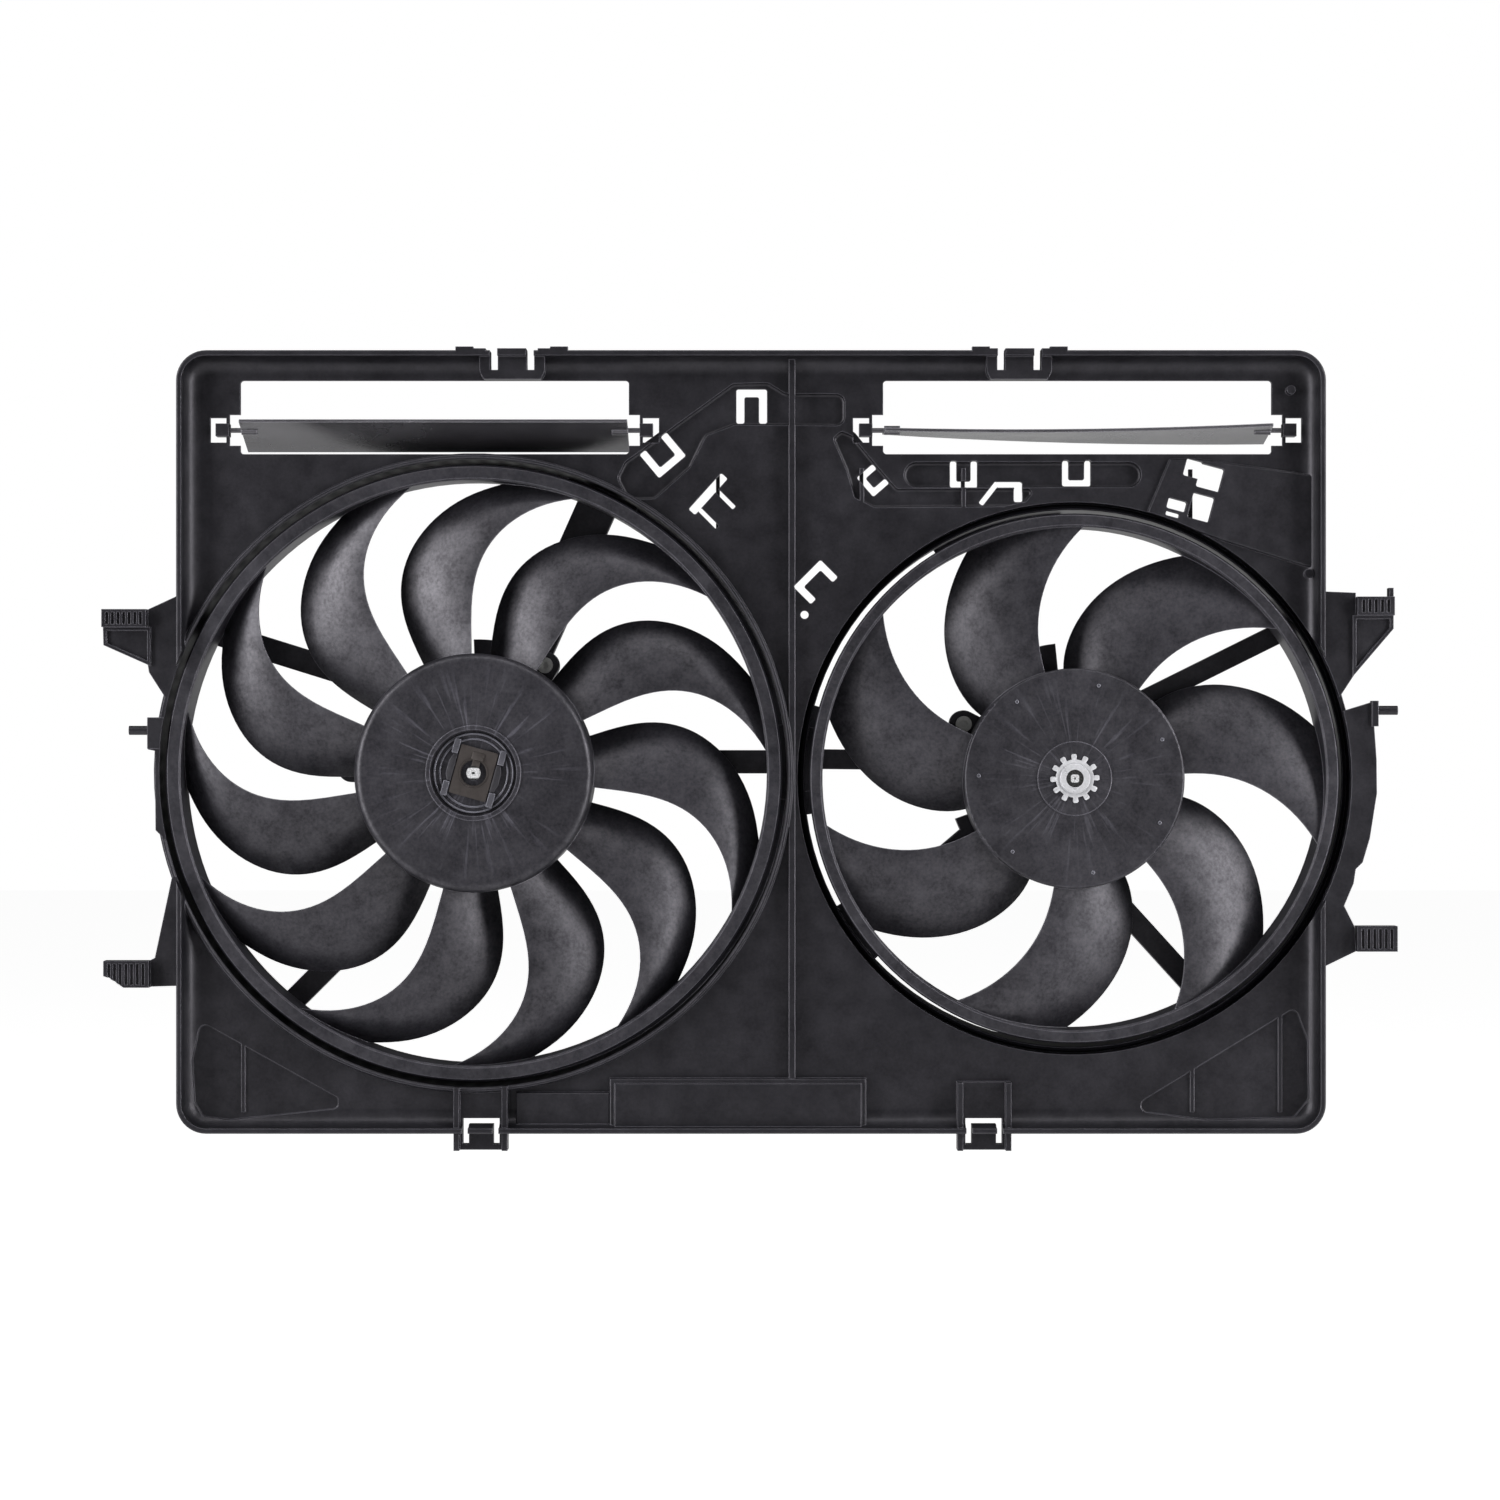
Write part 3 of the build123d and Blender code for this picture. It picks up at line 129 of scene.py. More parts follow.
# The floor's half width, the distances between which its glow changes, both in metres, and the
# share of its glow that mirrored rays see
FLOOR_HALF = 12.0
GLOW_DISTANCES = (1.0, 3.5)
FLOOR_MIRRORED = 0.6
# The camera's sensor, in millimetres
SENSOR_WIDTH = 36.0


def colour(name, description, default):
    return FloatVectorProperty(name=name, description=description, default=default, subtype="COLOR",
                               size=3, min=0.0, max=1.0)


def length(name, description, millimetres):
    return FloatProperty(name=name, description=description, default=millimetres * MM,
                         unit="LENGTH", subtype="DISTANCE")


def amount(name, description, default):
    return FloatProperty(name=name, description=description, default=default)


class FanModuleColours(bpy.types.PropertyGroup):
    """Colours of the module's finishes."""

    shroud: colour("Shroud", "Plastic of the shroud", (0.0060, 0.0058, 0.0072))
    wheels: colour("Fan wheels", "Plastic of the two fan wheels", (0.0090, 0.0087, 0.0108))
    # Painted light: the flaps are coloured much lighter than the other black plastic, standing in for
    # the light they catch from below
    flaps: colour("Flaps", "Plastic of the ram air flaps", (0.0300, 0.0292, 0.0325))
    motor: colour("Motor cans", "Paint of the motor cans", (0.010, 0.010, 0.012))
    zinc: colour("Zinc", "Zinc plating of screws and rear covers", (0.50, 0.50, 0.49))
    washer: colour("Lock washer", "Bright spring steel of the lock washer", (0.44, 0.44, 0.46))
    clip: colour("Clip", "Dull spring steel of the fan clip", (0.040, 0.034, 0.032))
    rubber: colour("Rubber", "Damping pads beside the clip", (0.004, 0.004, 0.005))
    # Painted light: posts, recess steps and ejector marks are moulded on the wheels, and are coloured
    # lighter to stand in for the light they catch
    posts: colour("Hub posts", "Plastic posts around the clip", (0.034, 0.034, 0.040))
    shaft: colour("Shafts", "Ground steel of the shafts", (0.55, 0.55, 0.56))
    bronze: colour("Bronze", "Sintered bronze of the bearings", (0.45, 0.28, 0.13))
    copper: colour("Copper", "Copper of windings and commutators", (0.62, 0.27, 0.12))
    ferrite: colour("Ferrite", "Ferrite of the magnets", (0.05, 0.05, 0.055))
    resin: colour("Resin board", "Pressed board of the brush cards", (0.22, 0.12, 0.05))
    floor: colour("Floor", "Pale floor under the module", (0.80, 0.80, 0.80))


class FanModuleSizes(bpy.types.PropertyGroup):
    """Sizes of the looks that the frame doesn't set."""

    grain: length("Grain", "Size of the moulded grain", 0.45)
    edge: length("Edge rounding", "Rounding that catches the light on edges", 0.5)
    edge_line: length("Edge line", "Width of the light line along sharp edges", 0.8)
    smooth_angle: FloatProperty(name="Smooth angle", description="Edges sharper than this stay crisp",
                                default=math.radians(28.0), subtype="ANGLE")
    merge: FloatProperty(name="Merge distance", description="Corners nearer than this become one",
                         default=0.002 * MM, precision=6, unit="LENGTH", subtype="DISTANCE")


class FanModuleStage(bpy.types.PropertyGroup):
    """Camera, lamps and floor."""

    camera_distance: length("Camera distance", "From the camera to the rim's plane", 2000.0)
    camera_across: length("Camera across", "Camera's place to the right", -0.565)
    camera_up: length("Camera up", "Camera's height above the middle", -4.52)
    frame_width: length("Frame width", "Width that the picture shows at the rim's plane", 847.5)
    floor_drop: length("Floor drop", "Floor's height below the middle", 560.0)
    side_lamps: amount("Side lamps", "Power of each side lamp in watts", 46.0)
    top_lamp: amount("Top lamp", "Power of the top lamp in watts", 24.0)
    front_lamp: amount("Front lamp", "Power of the lamp above the camera in watts", 5.0)
    sky: amount("Sky", "Strength of the world's light", 0.05)
    backdrop: amount("Backdrop glow", "Light that the camera and mirrored rays see on the floor", 0.74)
    far_glow: amount("Far glow", "The same light far from the module", 0.93)


def span(middle, half):
    """Both ends of a range."""
    return middle - half, middle + half


def settings():
    """The add-on's colours, sizes and stage."""
    scene = bpy.context.scene
    return scene.fan_module_colours, scene.fan_module_sizes, scene.fan_module_stage


# Materials

class Nodes:
    """Short calls for building one material's node tree."""

    def __init__(self, name):
        self.material = bpy.data.materials.new(name)
        self.material.use_nodes = True
        self.tree = self.material.node_tree
        self.tree.nodes.clear()
        self.output = self.add("ShaderNodeOutputMaterial")

    def add(self, kind, **values):
        node = self.tree.nodes.new(kind)
        for key, value in values.items():
            setattr(node, key, value)
        return node

    def link(self, source, target):
        self.tree.links.new(source, target)

    def put(self, socket, value):
        if isinstance(value, bpy.types.NodeSocket):
            self.link(value, socket)
        else:
            socket.default_value = value

    def math(self, operation, first, second=0.0, third=0.0):
        node = self.add("ShaderNodeMath", operation=operation)
        for socket, value in zip(node.inputs, (first, second, third)):
            self.put(socket, value)
        return node.outputs[0]

    def places(self):
        """Object coordinates in millimetres."""
        coordinates = self.add("ShaderNodeTexCoord")
        mapping = self.add("ShaderNodeMapping")
        mapping.inputs["Scale"].default_value = (1.0 / MM,) * 3
        self.link(coordinates.outputs["Object"], mapping.inputs["Vector"])
        return mapping.outputs[0]

    def parts(self):
        """Object coordinates in metres, taken apart into across, depth and up."""
        split = self.add("ShaderNodeSeparateXYZ")
        self.link(self.add("ShaderNodeTexCoord").outputs["Object"], split.inputs[0])
        return split.outputs

    def noise(self, vector, scale, detail=2.0, roughness=0.5):
        node = self.add("ShaderNodeTexNoise")
        self.link(vector, node.inputs["Vector"])
        node.inputs["Scale"].default_value = scale
        node.inputs["Detail"].default_value = detail
        node.inputs["Roughness"].default_value = roughness
        return node.outputs["Fac"]

    def spread(self, value, low, high, to_low=0.0, to_high=1.0):
        """A value's range moved to another range, and held there."""
        node = self.add("ShaderNodeMapRange")
        for socket, item in zip(node.inputs, (value, low, high, to_low, to_high)):
            self.put(socket, item)
        return node.outputs[0]

    def blend(self, first, second, share):
        """A share of one value with the rest of another."""
        return self.math("ADD", self.math("MULTIPLY", first, share),
                         self.math("MULTIPLY", second, 1.0 - share))

    def squares(self, first, second):
        """The sum of two values' squares."""
        return self.math("ADD", self.math("MULTIPLY", first, first),
                         self.math("MULTIPLY", second, second))

    def raised(self, value, part, share):
        """A value with a share of another on top."""
        return self.math("ADD", value, self.math("MULTIPLY", part, share))

    def ramp(self, value, dark, light):
        """A colour between two colours, or past the light one where the value is over one."""
        node = self.add("ShaderNodeMix", data_type="RGBA", clamp_factor=False)
        self.link(value, node.inputs["Factor"])
        node.inputs["A"].default_value = (*dark, 1.0)
        node.inputs["B"].default_value = (*light, 1.0)
        return node.outputs["Result"]

    def bump(self, height, strength, distance, normal=None):
        node = self.add("ShaderNodeBump")
        node.inputs["Strength"].default_value = strength
        node.inputs["Distance"].default_value = distance
        self.link(height, node.inputs["Height"])
        if normal is not None:
            self.link(normal, node.inputs["Normal"])
        return node.outputs[0]

    def rounded(self, radius):
        node = self.add("ShaderNodeBevel", samples=4)
        node.inputs["Radius"].default_value = radius
        return node.outputs[0]

    def surface(self, base, roughness, normal=None, **values):
        shader = self.add("ShaderNodeBsdfPrincipled")
        self.put(shader.inputs["Base Color"], base)
        self.put(shader.inputs["Roughness"], roughness)
        for key, value in values.items():
            self.put(shader.inputs[key.replace("_", " ")], value)
        if normal is not None:
            self.link(normal, shader.inputs["Normal"])
        self.link(shader.outputs[0], self.output.inputs["Surface"])
        return self.material


def tint(base, share):
    """A colour made darker or lighter."""
    return tuple(channel * share for channel in base)


def moulded_plastic(name, base, gloss, grain, level=0.36, mottle=0.06, painted_shade_rings=(),
                    streak_centre=None, streak_light=4.5):
    """Black moulded plastic: fine grain, cloudy gloss, a painted highlight along sharp edges, painted
    shade in the given rings and, on a hub, flow streaks.
    """
    sizes = settings()[1]
    nodes = Nodes(name)
    place = nodes.places()
    cloud = nodes.noise(place, PLASTIC["cloud_scale"], 3.0, 0.55)
    patch = nodes.noise(place, PLASTIC["patch_scale"], 4.0, 0.6)
    speck = nodes.noise(place, PLASTIC["speck_scale"], 3.0, 0.65)
    grit = nodes.noise(place, MM / sizes.grain, 2.0, 0.6)
    clouded = nodes.blend(cloud, patch, PLASTIC["cloud_share"])
    worn = nodes.blend(patch, speck, PLASTIC["patch_share"])
    shade = nodes.spread(clouded, 0.35, 0.65)
    rough = nodes.spread(clouded, 0.3, 0.7, *span(gloss, PLASTIC["gloss_spread"]))
    shine = nodes.spread(worn, 0.36, 0.64, *span(level, mottle))
    normal = nodes.bump(grit, grain, PLASTIC["grain_depth"] * MM, nodes.rounded(sizes.edge))
    if streak_centre is not None:
        streaks = radial_streaks(nodes, streak_centre)
        rough = nodes.raised(rough, streaks, PLASTIC["streak_gloss"])
        shade = nodes.raised(shade, streaks, streak_light)
        normal = nodes.bump(streaks, PLASTIC["streak_bump"], PLASTIC["streak_depth"] * MM, normal)
    # Painted highlight: sharp edges get a lighter colour and more shine
    edge = painted_edge_highlight(nodes, sizes.edge_line)
    shade = nodes.raised(shade, edge, PLASTIC["painted_edge_light"])
    shine = nodes.raised(shine, edge, PLASTIC["painted_edge_shine"])
    # Painted shade: colour and shine are darkened in the rings where little light gets in
    for centre, inner, outer in painted_shade_rings:
        lit = painted_gap_shade(nodes, centre, inner * MM, outer * MM)
        shade = nodes.math("MULTIPLY", shade, lit)
        shine = nodes.math("MULTIPLY", shine, lit)
    paint = nodes.ramp(shade, tint(base, PLASTIC["dark"]), tint(base, PLASTIC["light"]))
    return nodes.surface(paint, rough, normal, IOR=1.5, Specular_IOR_Level=shine,
                         Specular_Tint=PLASTIC["tint"])


def painted_edge_highlight(nodes, radius):
    """A painted highlight: one along sharp edges, which catch the light, and none on flat faces."""
    geometry = nodes.add("ShaderNodeNewGeometry")
    apart = nodes.add("ShaderNodeVectorMath", operation="DISTANCE")
    nodes.link(nodes.rounded(radius), apart.inputs[0])
    nodes.link(geometry.outputs["Normal"], apart.inputs[1])
    return nodes.spread(apart.outputs["Value"], 0.12, 0.5)


def from_axis(nodes, parts, centre):
    """Places across and up from a fan's axis, and the distance from it."""
    across = nodes.math("SUBTRACT", parts[0], centre.x)
    up = nodes.math("SUBTRACT", parts[2], centre.z)
    return across, up, nodes.math("SQRT", nodes.squares(across, up))


def painted_gap_shade(nodes, centre, inner, outer):
    """Painted shade: none between two radii about a fan's axis, in the front of the module, and one
    elsewhere.
    """
    parts = nodes.parts()
    radius = from_axis(nodes, parts, centre)[2]
    soft = GAP_FADE * MM
    inside = nodes.spread(radius, outer, outer + soft)
    outside = nodes.spread(radius, inner - soft, inner, 1.0, 0.0)
    behind = nodes.spread(parts[1], GAP_DEPTHS[0] * MM, GAP_DEPTHS[1] * MM)
    return nodes.math("MAXIMUM", behind, nodes.math("MAXIMUM", inside, outside))


def radial_streaks(nodes, centre):
    """Faint streaks that run outwards from a hub's middle."""
    across, up, radius = from_axis(nodes, nodes.parts(), centre)
    angle = nodes.math("ARCTAN2", up, across)
    join = nodes.add("ShaderNodeCombineXYZ")
    nodes.link(nodes.math("MULTIPLY", nodes.math("COSINE", angle), STREAKS["around"]), join.inputs[0])
    nodes.link(nodes.math("MULTIPLY", nodes.math("SINE", angle), STREAKS["around"]), join.inputs[1])
    nodes.link(nodes.math("MULTIPLY", radius, STREAKS["outwards"]), join.inputs[2])
    fine = nodes.noise(join.outputs[0], STREAKS["scale"], 3.0, 0.6)
    fade = nodes.spread(radius, STREAKS["inner"] * MM, STREAKS["outer"] * MM, 1.0, 0.0)
    return nodes.math("MULTIPLY", nodes.spread(fine, 0.56, 0.68), fade)


def bare_metal(name, base, roughness, metal=1.0):
    """Metal with fine brushing and slightly dull patches."""
    nodes = Nodes(name)
    fine = nodes.noise(nodes.places(), 0.6, 3.0, 0.7)
    patch = nodes.noise(nodes.places(), 0.12, 3.0, 0.6)
    rough = nodes.spread(patch, 0.3, 0.7, roughness - 0.06, roughness + 0.10)
    paint = nodes.ramp(nodes.spread(fine, 0.3, 0.7), tint(base, 0.86), tint(base, 1.08))
    normal = nodes.bump(fine, 0.12, 0.04 * MM)
    return nodes.surface(paint, rough, normal, Metallic=metal)


def wound_copper(name, base):
    """Lacquered wire, laid side by side."""
    nodes = Nodes(name)
    place = nodes.places()
    wave = nodes.add("ShaderNodeTexWave", wave_type="RINGS", rings_direction="Y")
    nodes.link(place, wave.inputs["Vector"])
    wave.inputs["Scale"].default_value = 0.35
    wave.inputs["Distortion"].default_value = 2.0
    paint = nodes.ramp(wave.outputs["Fac"], tint(base, 0.45), base)
    normal = nodes.bump(wave.outputs["Fac"], 0.6, 0.5 * MM)
    return nodes.surface(paint, 0.32, normal, Metallic=0.9, Coat_Weight=0.4)


def stacked_sheets(name, base):
    """The edges of stacked steel sheets."""
    nodes = Nodes(name)
    wave = nodes.add("ShaderNodeTexWave", wave_type="BANDS", bands_direction="Y")
    nodes.link(nodes.places(), wave.inputs["Vector"])
    wave.inputs["Scale"].default_value = 0.6
    paint = nodes.ramp(wave.outputs["Fac"], tint(base, 0.5), base)
    return nodes.surface(paint, 0.42, nodes.bump(wave.outputs["Fac"], 0.4, 0.2 * MM), Metallic=1.0)


def pressed_matter(name, base, roughness):
    """Pressed ferrite, carbon or board."""
    nodes = Nodes(name)
    speck = nodes.noise(nodes.places(), 1.8, 4.0, 0.7)
    paint = nodes.ramp(nodes.spread(speck, 0.35, 0.65), tint(base, 0.7), tint(base, 1.3))
    return nodes.surface(paint, roughness, nodes.bump(speck, 0.3, 0.1 * MM))


def shaft_end_steel(name, base, centre, half_width, half_height, front):
    """Ground steel with a front end painted dark around a bright middle, and a dark dot of painted
    shade at the drilled centre.
    """
    nodes = Nodes(name)
    parts = nodes.parts()
    across = nodes.math("DIVIDE", nodes.math("SUBTRACT", parts[0], centre.x), half_width)
    up = nodes.math("DIVIDE", nodes.math("SUBTRACT", parts[2], centre.z), half_height)
    square = nodes.math("ADD", nodes.math("POWER", nodes.math("ABSOLUTE", across), 4.0),
                        nodes.math("POWER", nodes.math("ABSOLUTE", up), 4.0))
    # Painted shade: the dark dot stands for the shade inside the drilled centre
    drilled = nodes.spread(nodes.squares(across, up), 0.05, 0.09, 1.0, 0.0)
    darkened_end = nodes.math("MAXIMUM", nodes.spread(square, 0.9, 1.5), drilled)
    ahead = nodes.spread(parts[1], front + 0.3 * MM, front + 0.5 * MM, 1.0, 0.0)
    paint = nodes.ramp(nodes.math("MULTIPLY", darkened_end, ahead), base, tint(base, 0.05))
    fine = nodes.noise(nodes.places(), 1.5, 3.0, 0.7)
    rough = nodes.spread(fine, 0.3, 0.7, 0.2, 0.34)
    return nodes.surface(paint, rough, nodes.bump(fine, 0.1, 0.04 * MM), Metallic=0.5)


# Pieces

def finish_mesh(work, name, material, body, smooth_angle, replaced=()):
    """Turns a bmesh into a shown piece that rides on a body."""
    for face in work.faces:
        face.smooth = True
    for edge in work.edges:
        edge.smooth = edge.is_manifold and edge.calc_face_angle(0.0) < smooth_angle
    mesh = bpy.data.meshes.new(name)
    work.to_mesh(mesh)
    work.free()
    piece = bpy.data.objects.new(name, mesh)
    bpy.context.scene.collection.objects.link(piece)
    mesh.materials.append(material)
    if replaced:
        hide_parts(*replaced)
    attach(piece, body)
    return piece


def merged_copy(node):
    """The CAD node's mesh with its loose triangles merged."""
    sizes = settings()[1]
    work = bmesh.new()
    work.from_mesh(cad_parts[node].data)
    bmesh.ops.remove_doubles(work, verts=work.verts, dist=sizes.merge)
    return work


def dressed_node(node, name, material, body):
    """A smooth shaded piece in place of a CAD node."""
    sizes = settings()[1]
    piece = finish_mesh(merged_copy(node), name, material, body, sizes.smooth_angle, (node,))
    weighted = piece.modifiers.new("Even shading", "WEIGHTED_NORMAL")
    weighted.keep_sharp = True
    weighted.weight = 90
    return piece


def spun(work, profile, steps=64):
    """Turns a closed outline of radius and depth, in millimetres, about the Y axis."""
    corners = [work.verts.new((radius * MM, depth * MM, 0.0)) for radius, depth in profile]
    edges = [work.edges.new(pair) for pair in zip(corners, corners[1:] + corners[:1])]
    bmesh.ops.spin(work, geom=corners + edges, cent=(0.0, 0.0, 0.0), axis=(0.0, 1.0, 0.0),
                   dvec=(0.0, 0.0, 0.0), angle=math.tau, steps=steps, use_merge=True)
    bmesh.ops.remove_doubles(work, verts=work.verts, dist=SPIN_MERGE * MM)


def slab(work, corners, front, back, edge):
    """A flat plate between two depths, from its corners across and up, with softened edges."""
    start = [work.verts.new((across * MM, front * MM, up * MM)) for across, up in corners]
    face = work.faces.new(start)
    made = bmesh.ops.extrude_face_region(work, geom=[face])["geom"]
    moved = [item for item in made if isinstance(item, bmesh.types.BMVert)]
    bmesh.ops.translate(work, verts=moved, vec=(0.0, (back - front) * MM, 0.0))
    touched = {line for corner in start + moved for line in corner.link_edges}
    bmesh.ops.bevel(work, geom=list(touched), offset=edge * MM, offset_type="OFFSET", segments=2,
                    profile=0.5, affect="EDGES", clamp_overlap=True, material=-1)


def box(work, across, up, front, back, edge):
    """A softened block from its edges across and up."""
    (left, right), (bottom, top) = across, up
    slab(work, [(left, bottom), (right, bottom), (right, top), (left, top)], front, back, edge)


def round_corners(half_width, half_height, radius, steps):
    """Corners of a rounded rectangle."""
    corners = []
    for quarter, (side, end) in enumerate(((1, 1), (-1, 1), (-1, -1), (1, -1))):
        for step in range(steps + 1):
            angle = math.radians(90.0 * (quarter + step / steps))
            corners.append((side * (half_width - radius) + radius * math.cos(angle),
                            end * (half_height - radius) + radius * math.sin(angle)))
    return corners


def on_axis(work, centre, turn=0.0):
    """Turns a shape about Y and moves it from the origin to a fan's axis."""
    bmesh.ops.recalc_face_normals(work, faces=work.faces)
    spin = Matrix.Rotation(math.radians(-turn), 4, "Y")
    bmesh.ops.transform(work, matrix=Matrix.Translation(centre) @ spin, verts=work.verts)
    return work


def repaint(node, material):
    """A better material on a CAD node that stays."""
    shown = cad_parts[node]
    for place in shown.material_slots:
        place.material = material


def depths(node):
    """Front and back of a CAD node, in millimetres."""
    low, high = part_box(node)
    return low[1] / MM, high[1] / MM


def clip_plate():
    """The sprung plate: a rounded plate with a round eye, its rim, a latch and four legs."""
    front, floor = depths("main_fan_clip")
    back = front + CLIP["thickness"]
    eye, rim, edge = CLIP["eye_radius"], CLIP["rim"], CLIP["edge"]
    work = bmesh.new()
    outer = round_corners(CLIP["half_width"], CLIP["half_height"], CLIP["corner"], CLIP["corner_steps"])
    first = math.radians(CLIP["eye_first"])
    turns = [math.tau * number / len(outer) + first for number in range(len(outer))]
    loops = []
    for points in (outer, [(eye * math.cos(turn), eye * math.sin(turn)) for turn in turns]):
        ring = [work.verts.new((across * MM, front * MM, up * MM)) for across, up in points]
        loops += [work.edges.new(pair) for pair in zip(ring, ring[1:] + ring[:1])]
    bmesh.ops.bridge_loops(work, edges=loops)
    made = bmesh.ops.extrude_face_region(work, geom=work.faces[:])["geom"]
    moved = [item for item in made if isinstance(item, bmesh.types.BMVert)]
    bmesh.ops.translate(work, verts=moved, vec=(0.0, (back - front) * MM, 0.0))
    spun(work, [(eye, front + rim), (eye + rim / 2, front - rim / 2), (eye + rim, front - rim / 2),
                (eye + 1.5 * rim, front + rim)])
    arm = (CLIP["arm_end"], CLIP["latch"][0] + CLIP["arm_lap"])
    sunk = front + CLIP["sunk"]
    box(work, span(0.0, CLIP["latch_half"]), CLIP["latch"], front - CLIP["latch_rise"], sunk,
        CLIP["latch_edge"])
    box(work, span(0.0, CLIP["arm_half"]), arm, front - CLIP["arm_rise"], sunk, edge)
    for side in (-1, 1):
        for end in (-1, 1):
            across = side * (CLIP["half_width"] - CLIP["leg_inset"][0])
            up = end * (CLIP["half_height"] - CLIP["leg_inset"][1])
            box(work, span(across, CLIP["leg_half"][0]), span(up, CLIP["leg_half"][1]),
                back - edge, floor, edge)
    return on_axis(work, MAIN_CENTRE, CLIP["turn"])


def clip_posts():
    """The hub's four posts that guide the clip."""
    floor = depths("main_fan_clip")[1]
    work = bmesh.new()
    for side in (-1, 1):
        for end in (-1, 1):
            box(work, span(side * POSTS["across"], POSTS["half_width"]),
                span(end * POSTS["up"], POSTS["half_height"]),
                floor - POSTS["rise"], floor + FLOOR_LAP, POSTS["edge"])
    return on_axis(work, MAIN_CENTRE, CLIP["turn"])


def clip_pads():
    """The black pads between the posts."""
    floor = depths("main_fan_clip")[1]
    high, flat = PADS["half_height"], PADS["flat"]
    work = bmesh.new()
    for side in (-1, 1):
        near, far = (side * (CLIP["half_width"] + PADS[end]) for end in ("near", "far"))
        slant = far - side * PADS["slant"]
        curve = [(near, -high), (near, high), (slant, high), (far, flat), (far, -flat), (slant, -high)]
        slab(work, curve, floor - PADS["rise"], floor + FLOOR_LAP, PADS["edge"])
    return on_axis(work, MAIN_CENTRE, CLIP["turn"])


def recess_steps():
    """The low round steps on the floor of the main hub's recess."""
    floor = depths("main_fan_clip")[1]
    top_inner, top_outer = RECESS_STEPS["top"]
    work = bmesh.new()
    for inner, rise in RECESS_STEPS["rings"]:
        spun(work, [(inner, floor + FLOOR_LAP), (inner + top_inner, floor - rise),
                    (inner + top_outer, floor - rise),
                    (inner + RECESS_STEPS["width"], floor + FLOOR_LAP)], steps=RING_STEPS)
    return on_axis(work, MAIN_CENTRE)


def washer_star():
    """The toothed lock washer with a dished body and a rolled collar."""
    front, back = depths("second_fan_lock_washer")
    root, tip, collar, bore = WASHER["root"], WASHER["tip"], WASHER["collar"], WASHER["bore"]
    half = list(zip((root - WASHER["root_lap"], tip - WASHER["tip_round"], tip), WASHER["halves"]))
    tooth = [(radius, -share) for radius, share in half] + half[::-1]
    step = math.tau / WASHER["teeth"]
    work = bmesh.new()
    for number in range(WASHER["teeth"]):
        corners = []
        for radius, share in tooth:
            angle = step * (number + share)
            corners.append((radius * math.cos(angle), radius * math.sin(angle)))
        slab(work, corners, back - WASHER["thickness"], back, WASHER["edge"])
    roll, shoulder, body = WASHER["roll"], WASHER["shoulder"], back - WASHER["body"]
    spun(work, [(bore, back), (bore, front + roll), (bore + roll, front), (collar - shoulder, front),
                (collar, front + shoulder), (collar, back - WASHER["foot"]), (collar + shoulder, body),
                (root - WASHER["body_edge"], body), (root, back - WASHER["body_side"]), (root, back)],
         steps=RING_STEPS)
    return on_axis(work, SECOND_CENTRE, WASHER["turn"])


def ejector_marks():
    """The small round marks that ejector pins left on the second hub."""
    work = bmesh.new()
    for number in range(MARKS["count"]):
        angle = math.radians(MARKS["first"] + 360.0 / MARKS["count"] * number)
        across, up = MARKS["radius"] * math.cos(angle), MARKS["radius"] * math.sin(angle)
        place = Matrix.Translation((across * MM, MARKS["front"] * MM, up * MM))
        made = bmesh.ops.create_circle(work, cap_ends=True, segments=20, radius=MARKS["size"] * MM,
                                       matrix=place @ Matrix.Rotation(math.radians(90.0), 4, "X"))
        face = made["verts"][0].link_faces[0]
        raised = bmesh.ops.extrude_face_region(work, geom=[face])["geom"]
        moved = [item for item in raised if isinstance(item, bmesh.types.BMVert)]
        bmesh.ops.translate(work, verts=moved, vec=(0.0, -MARKS["height"] * MM, 0.0))
    return on_axis(work, SECOND_CENTRE)


# Operators

class FANMODULE_OT_shroud(bpy.types.Operator):
    """Dresses the shroud"""

    bl_idname = "fan_module.shroud"
    bl_label = "Shroud"

    def execute(self, context):
        colours = settings()[0]
        plastic = moulded_plastic("shroud_black_plastic", colours.shroud, gloss=0.40, grain=0.35,
                                  level=0.26, painted_shade_rings=SHROUD_SHADE_GAPS)
        dressed_node("shroud", "shroud_moulding", plastic, "module")
        return {"FINISHED"}


class FANMODULE_OT_wheels(bpy.types.Operator):
    """Dresses the two fan wheels"""

    bl_idname = "fan_module.wheels"
    bl_label = "Fan wheels"

    def execute(self, context):
        colours = settings()[0]
        main = moulded_plastic("main_wheel_plastic", colours.wheels, gloss=0.42, grain=0.30,
                               mottle=0.16, painted_shade_rings=MAIN_WHEEL_SHADE_GAPS, streak_centre=MAIN_CENTRE)
        second = moulded_plastic("second_wheel_plastic", colours.wheels, gloss=0.44, grain=0.35,
                                 mottle=0.16, painted_shade_rings=SECOND_WHEEL_SHADE_GAPS,
                                 streak_centre=SECOND_CENTRE, streak_light=2.4)
        dressed_node("main_fan_wheel", "main_wheel_moulding", main, "main_fan")
        dressed_node("second_fan_wheel", "second_wheel_moulding", second, "second_fan")
        return {"FINISHED"}


class FANMODULE_OT_flaps(bpy.types.Operator):
    """Dresses the two ram air flaps"""

    bl_idname = "fan_module.flaps"
    bl_label = "Ram air flaps"

    def execute(self, context):
        colours = settings()[0]
        # Painted light: the flaps' lighter colour stands in for the light they catch
        plastic = moulded_plastic("flap_plastic_finish", colours.flaps, gloss=0.24, grain=0.12,
                                  level=0.5)
        dressed_node("left_flap", "left_flap_panel", plastic, "left_flap")
        dressed_node("right_flap", "right_flap_panel", plastic, "right_flap")
        return {"FINISHED"}


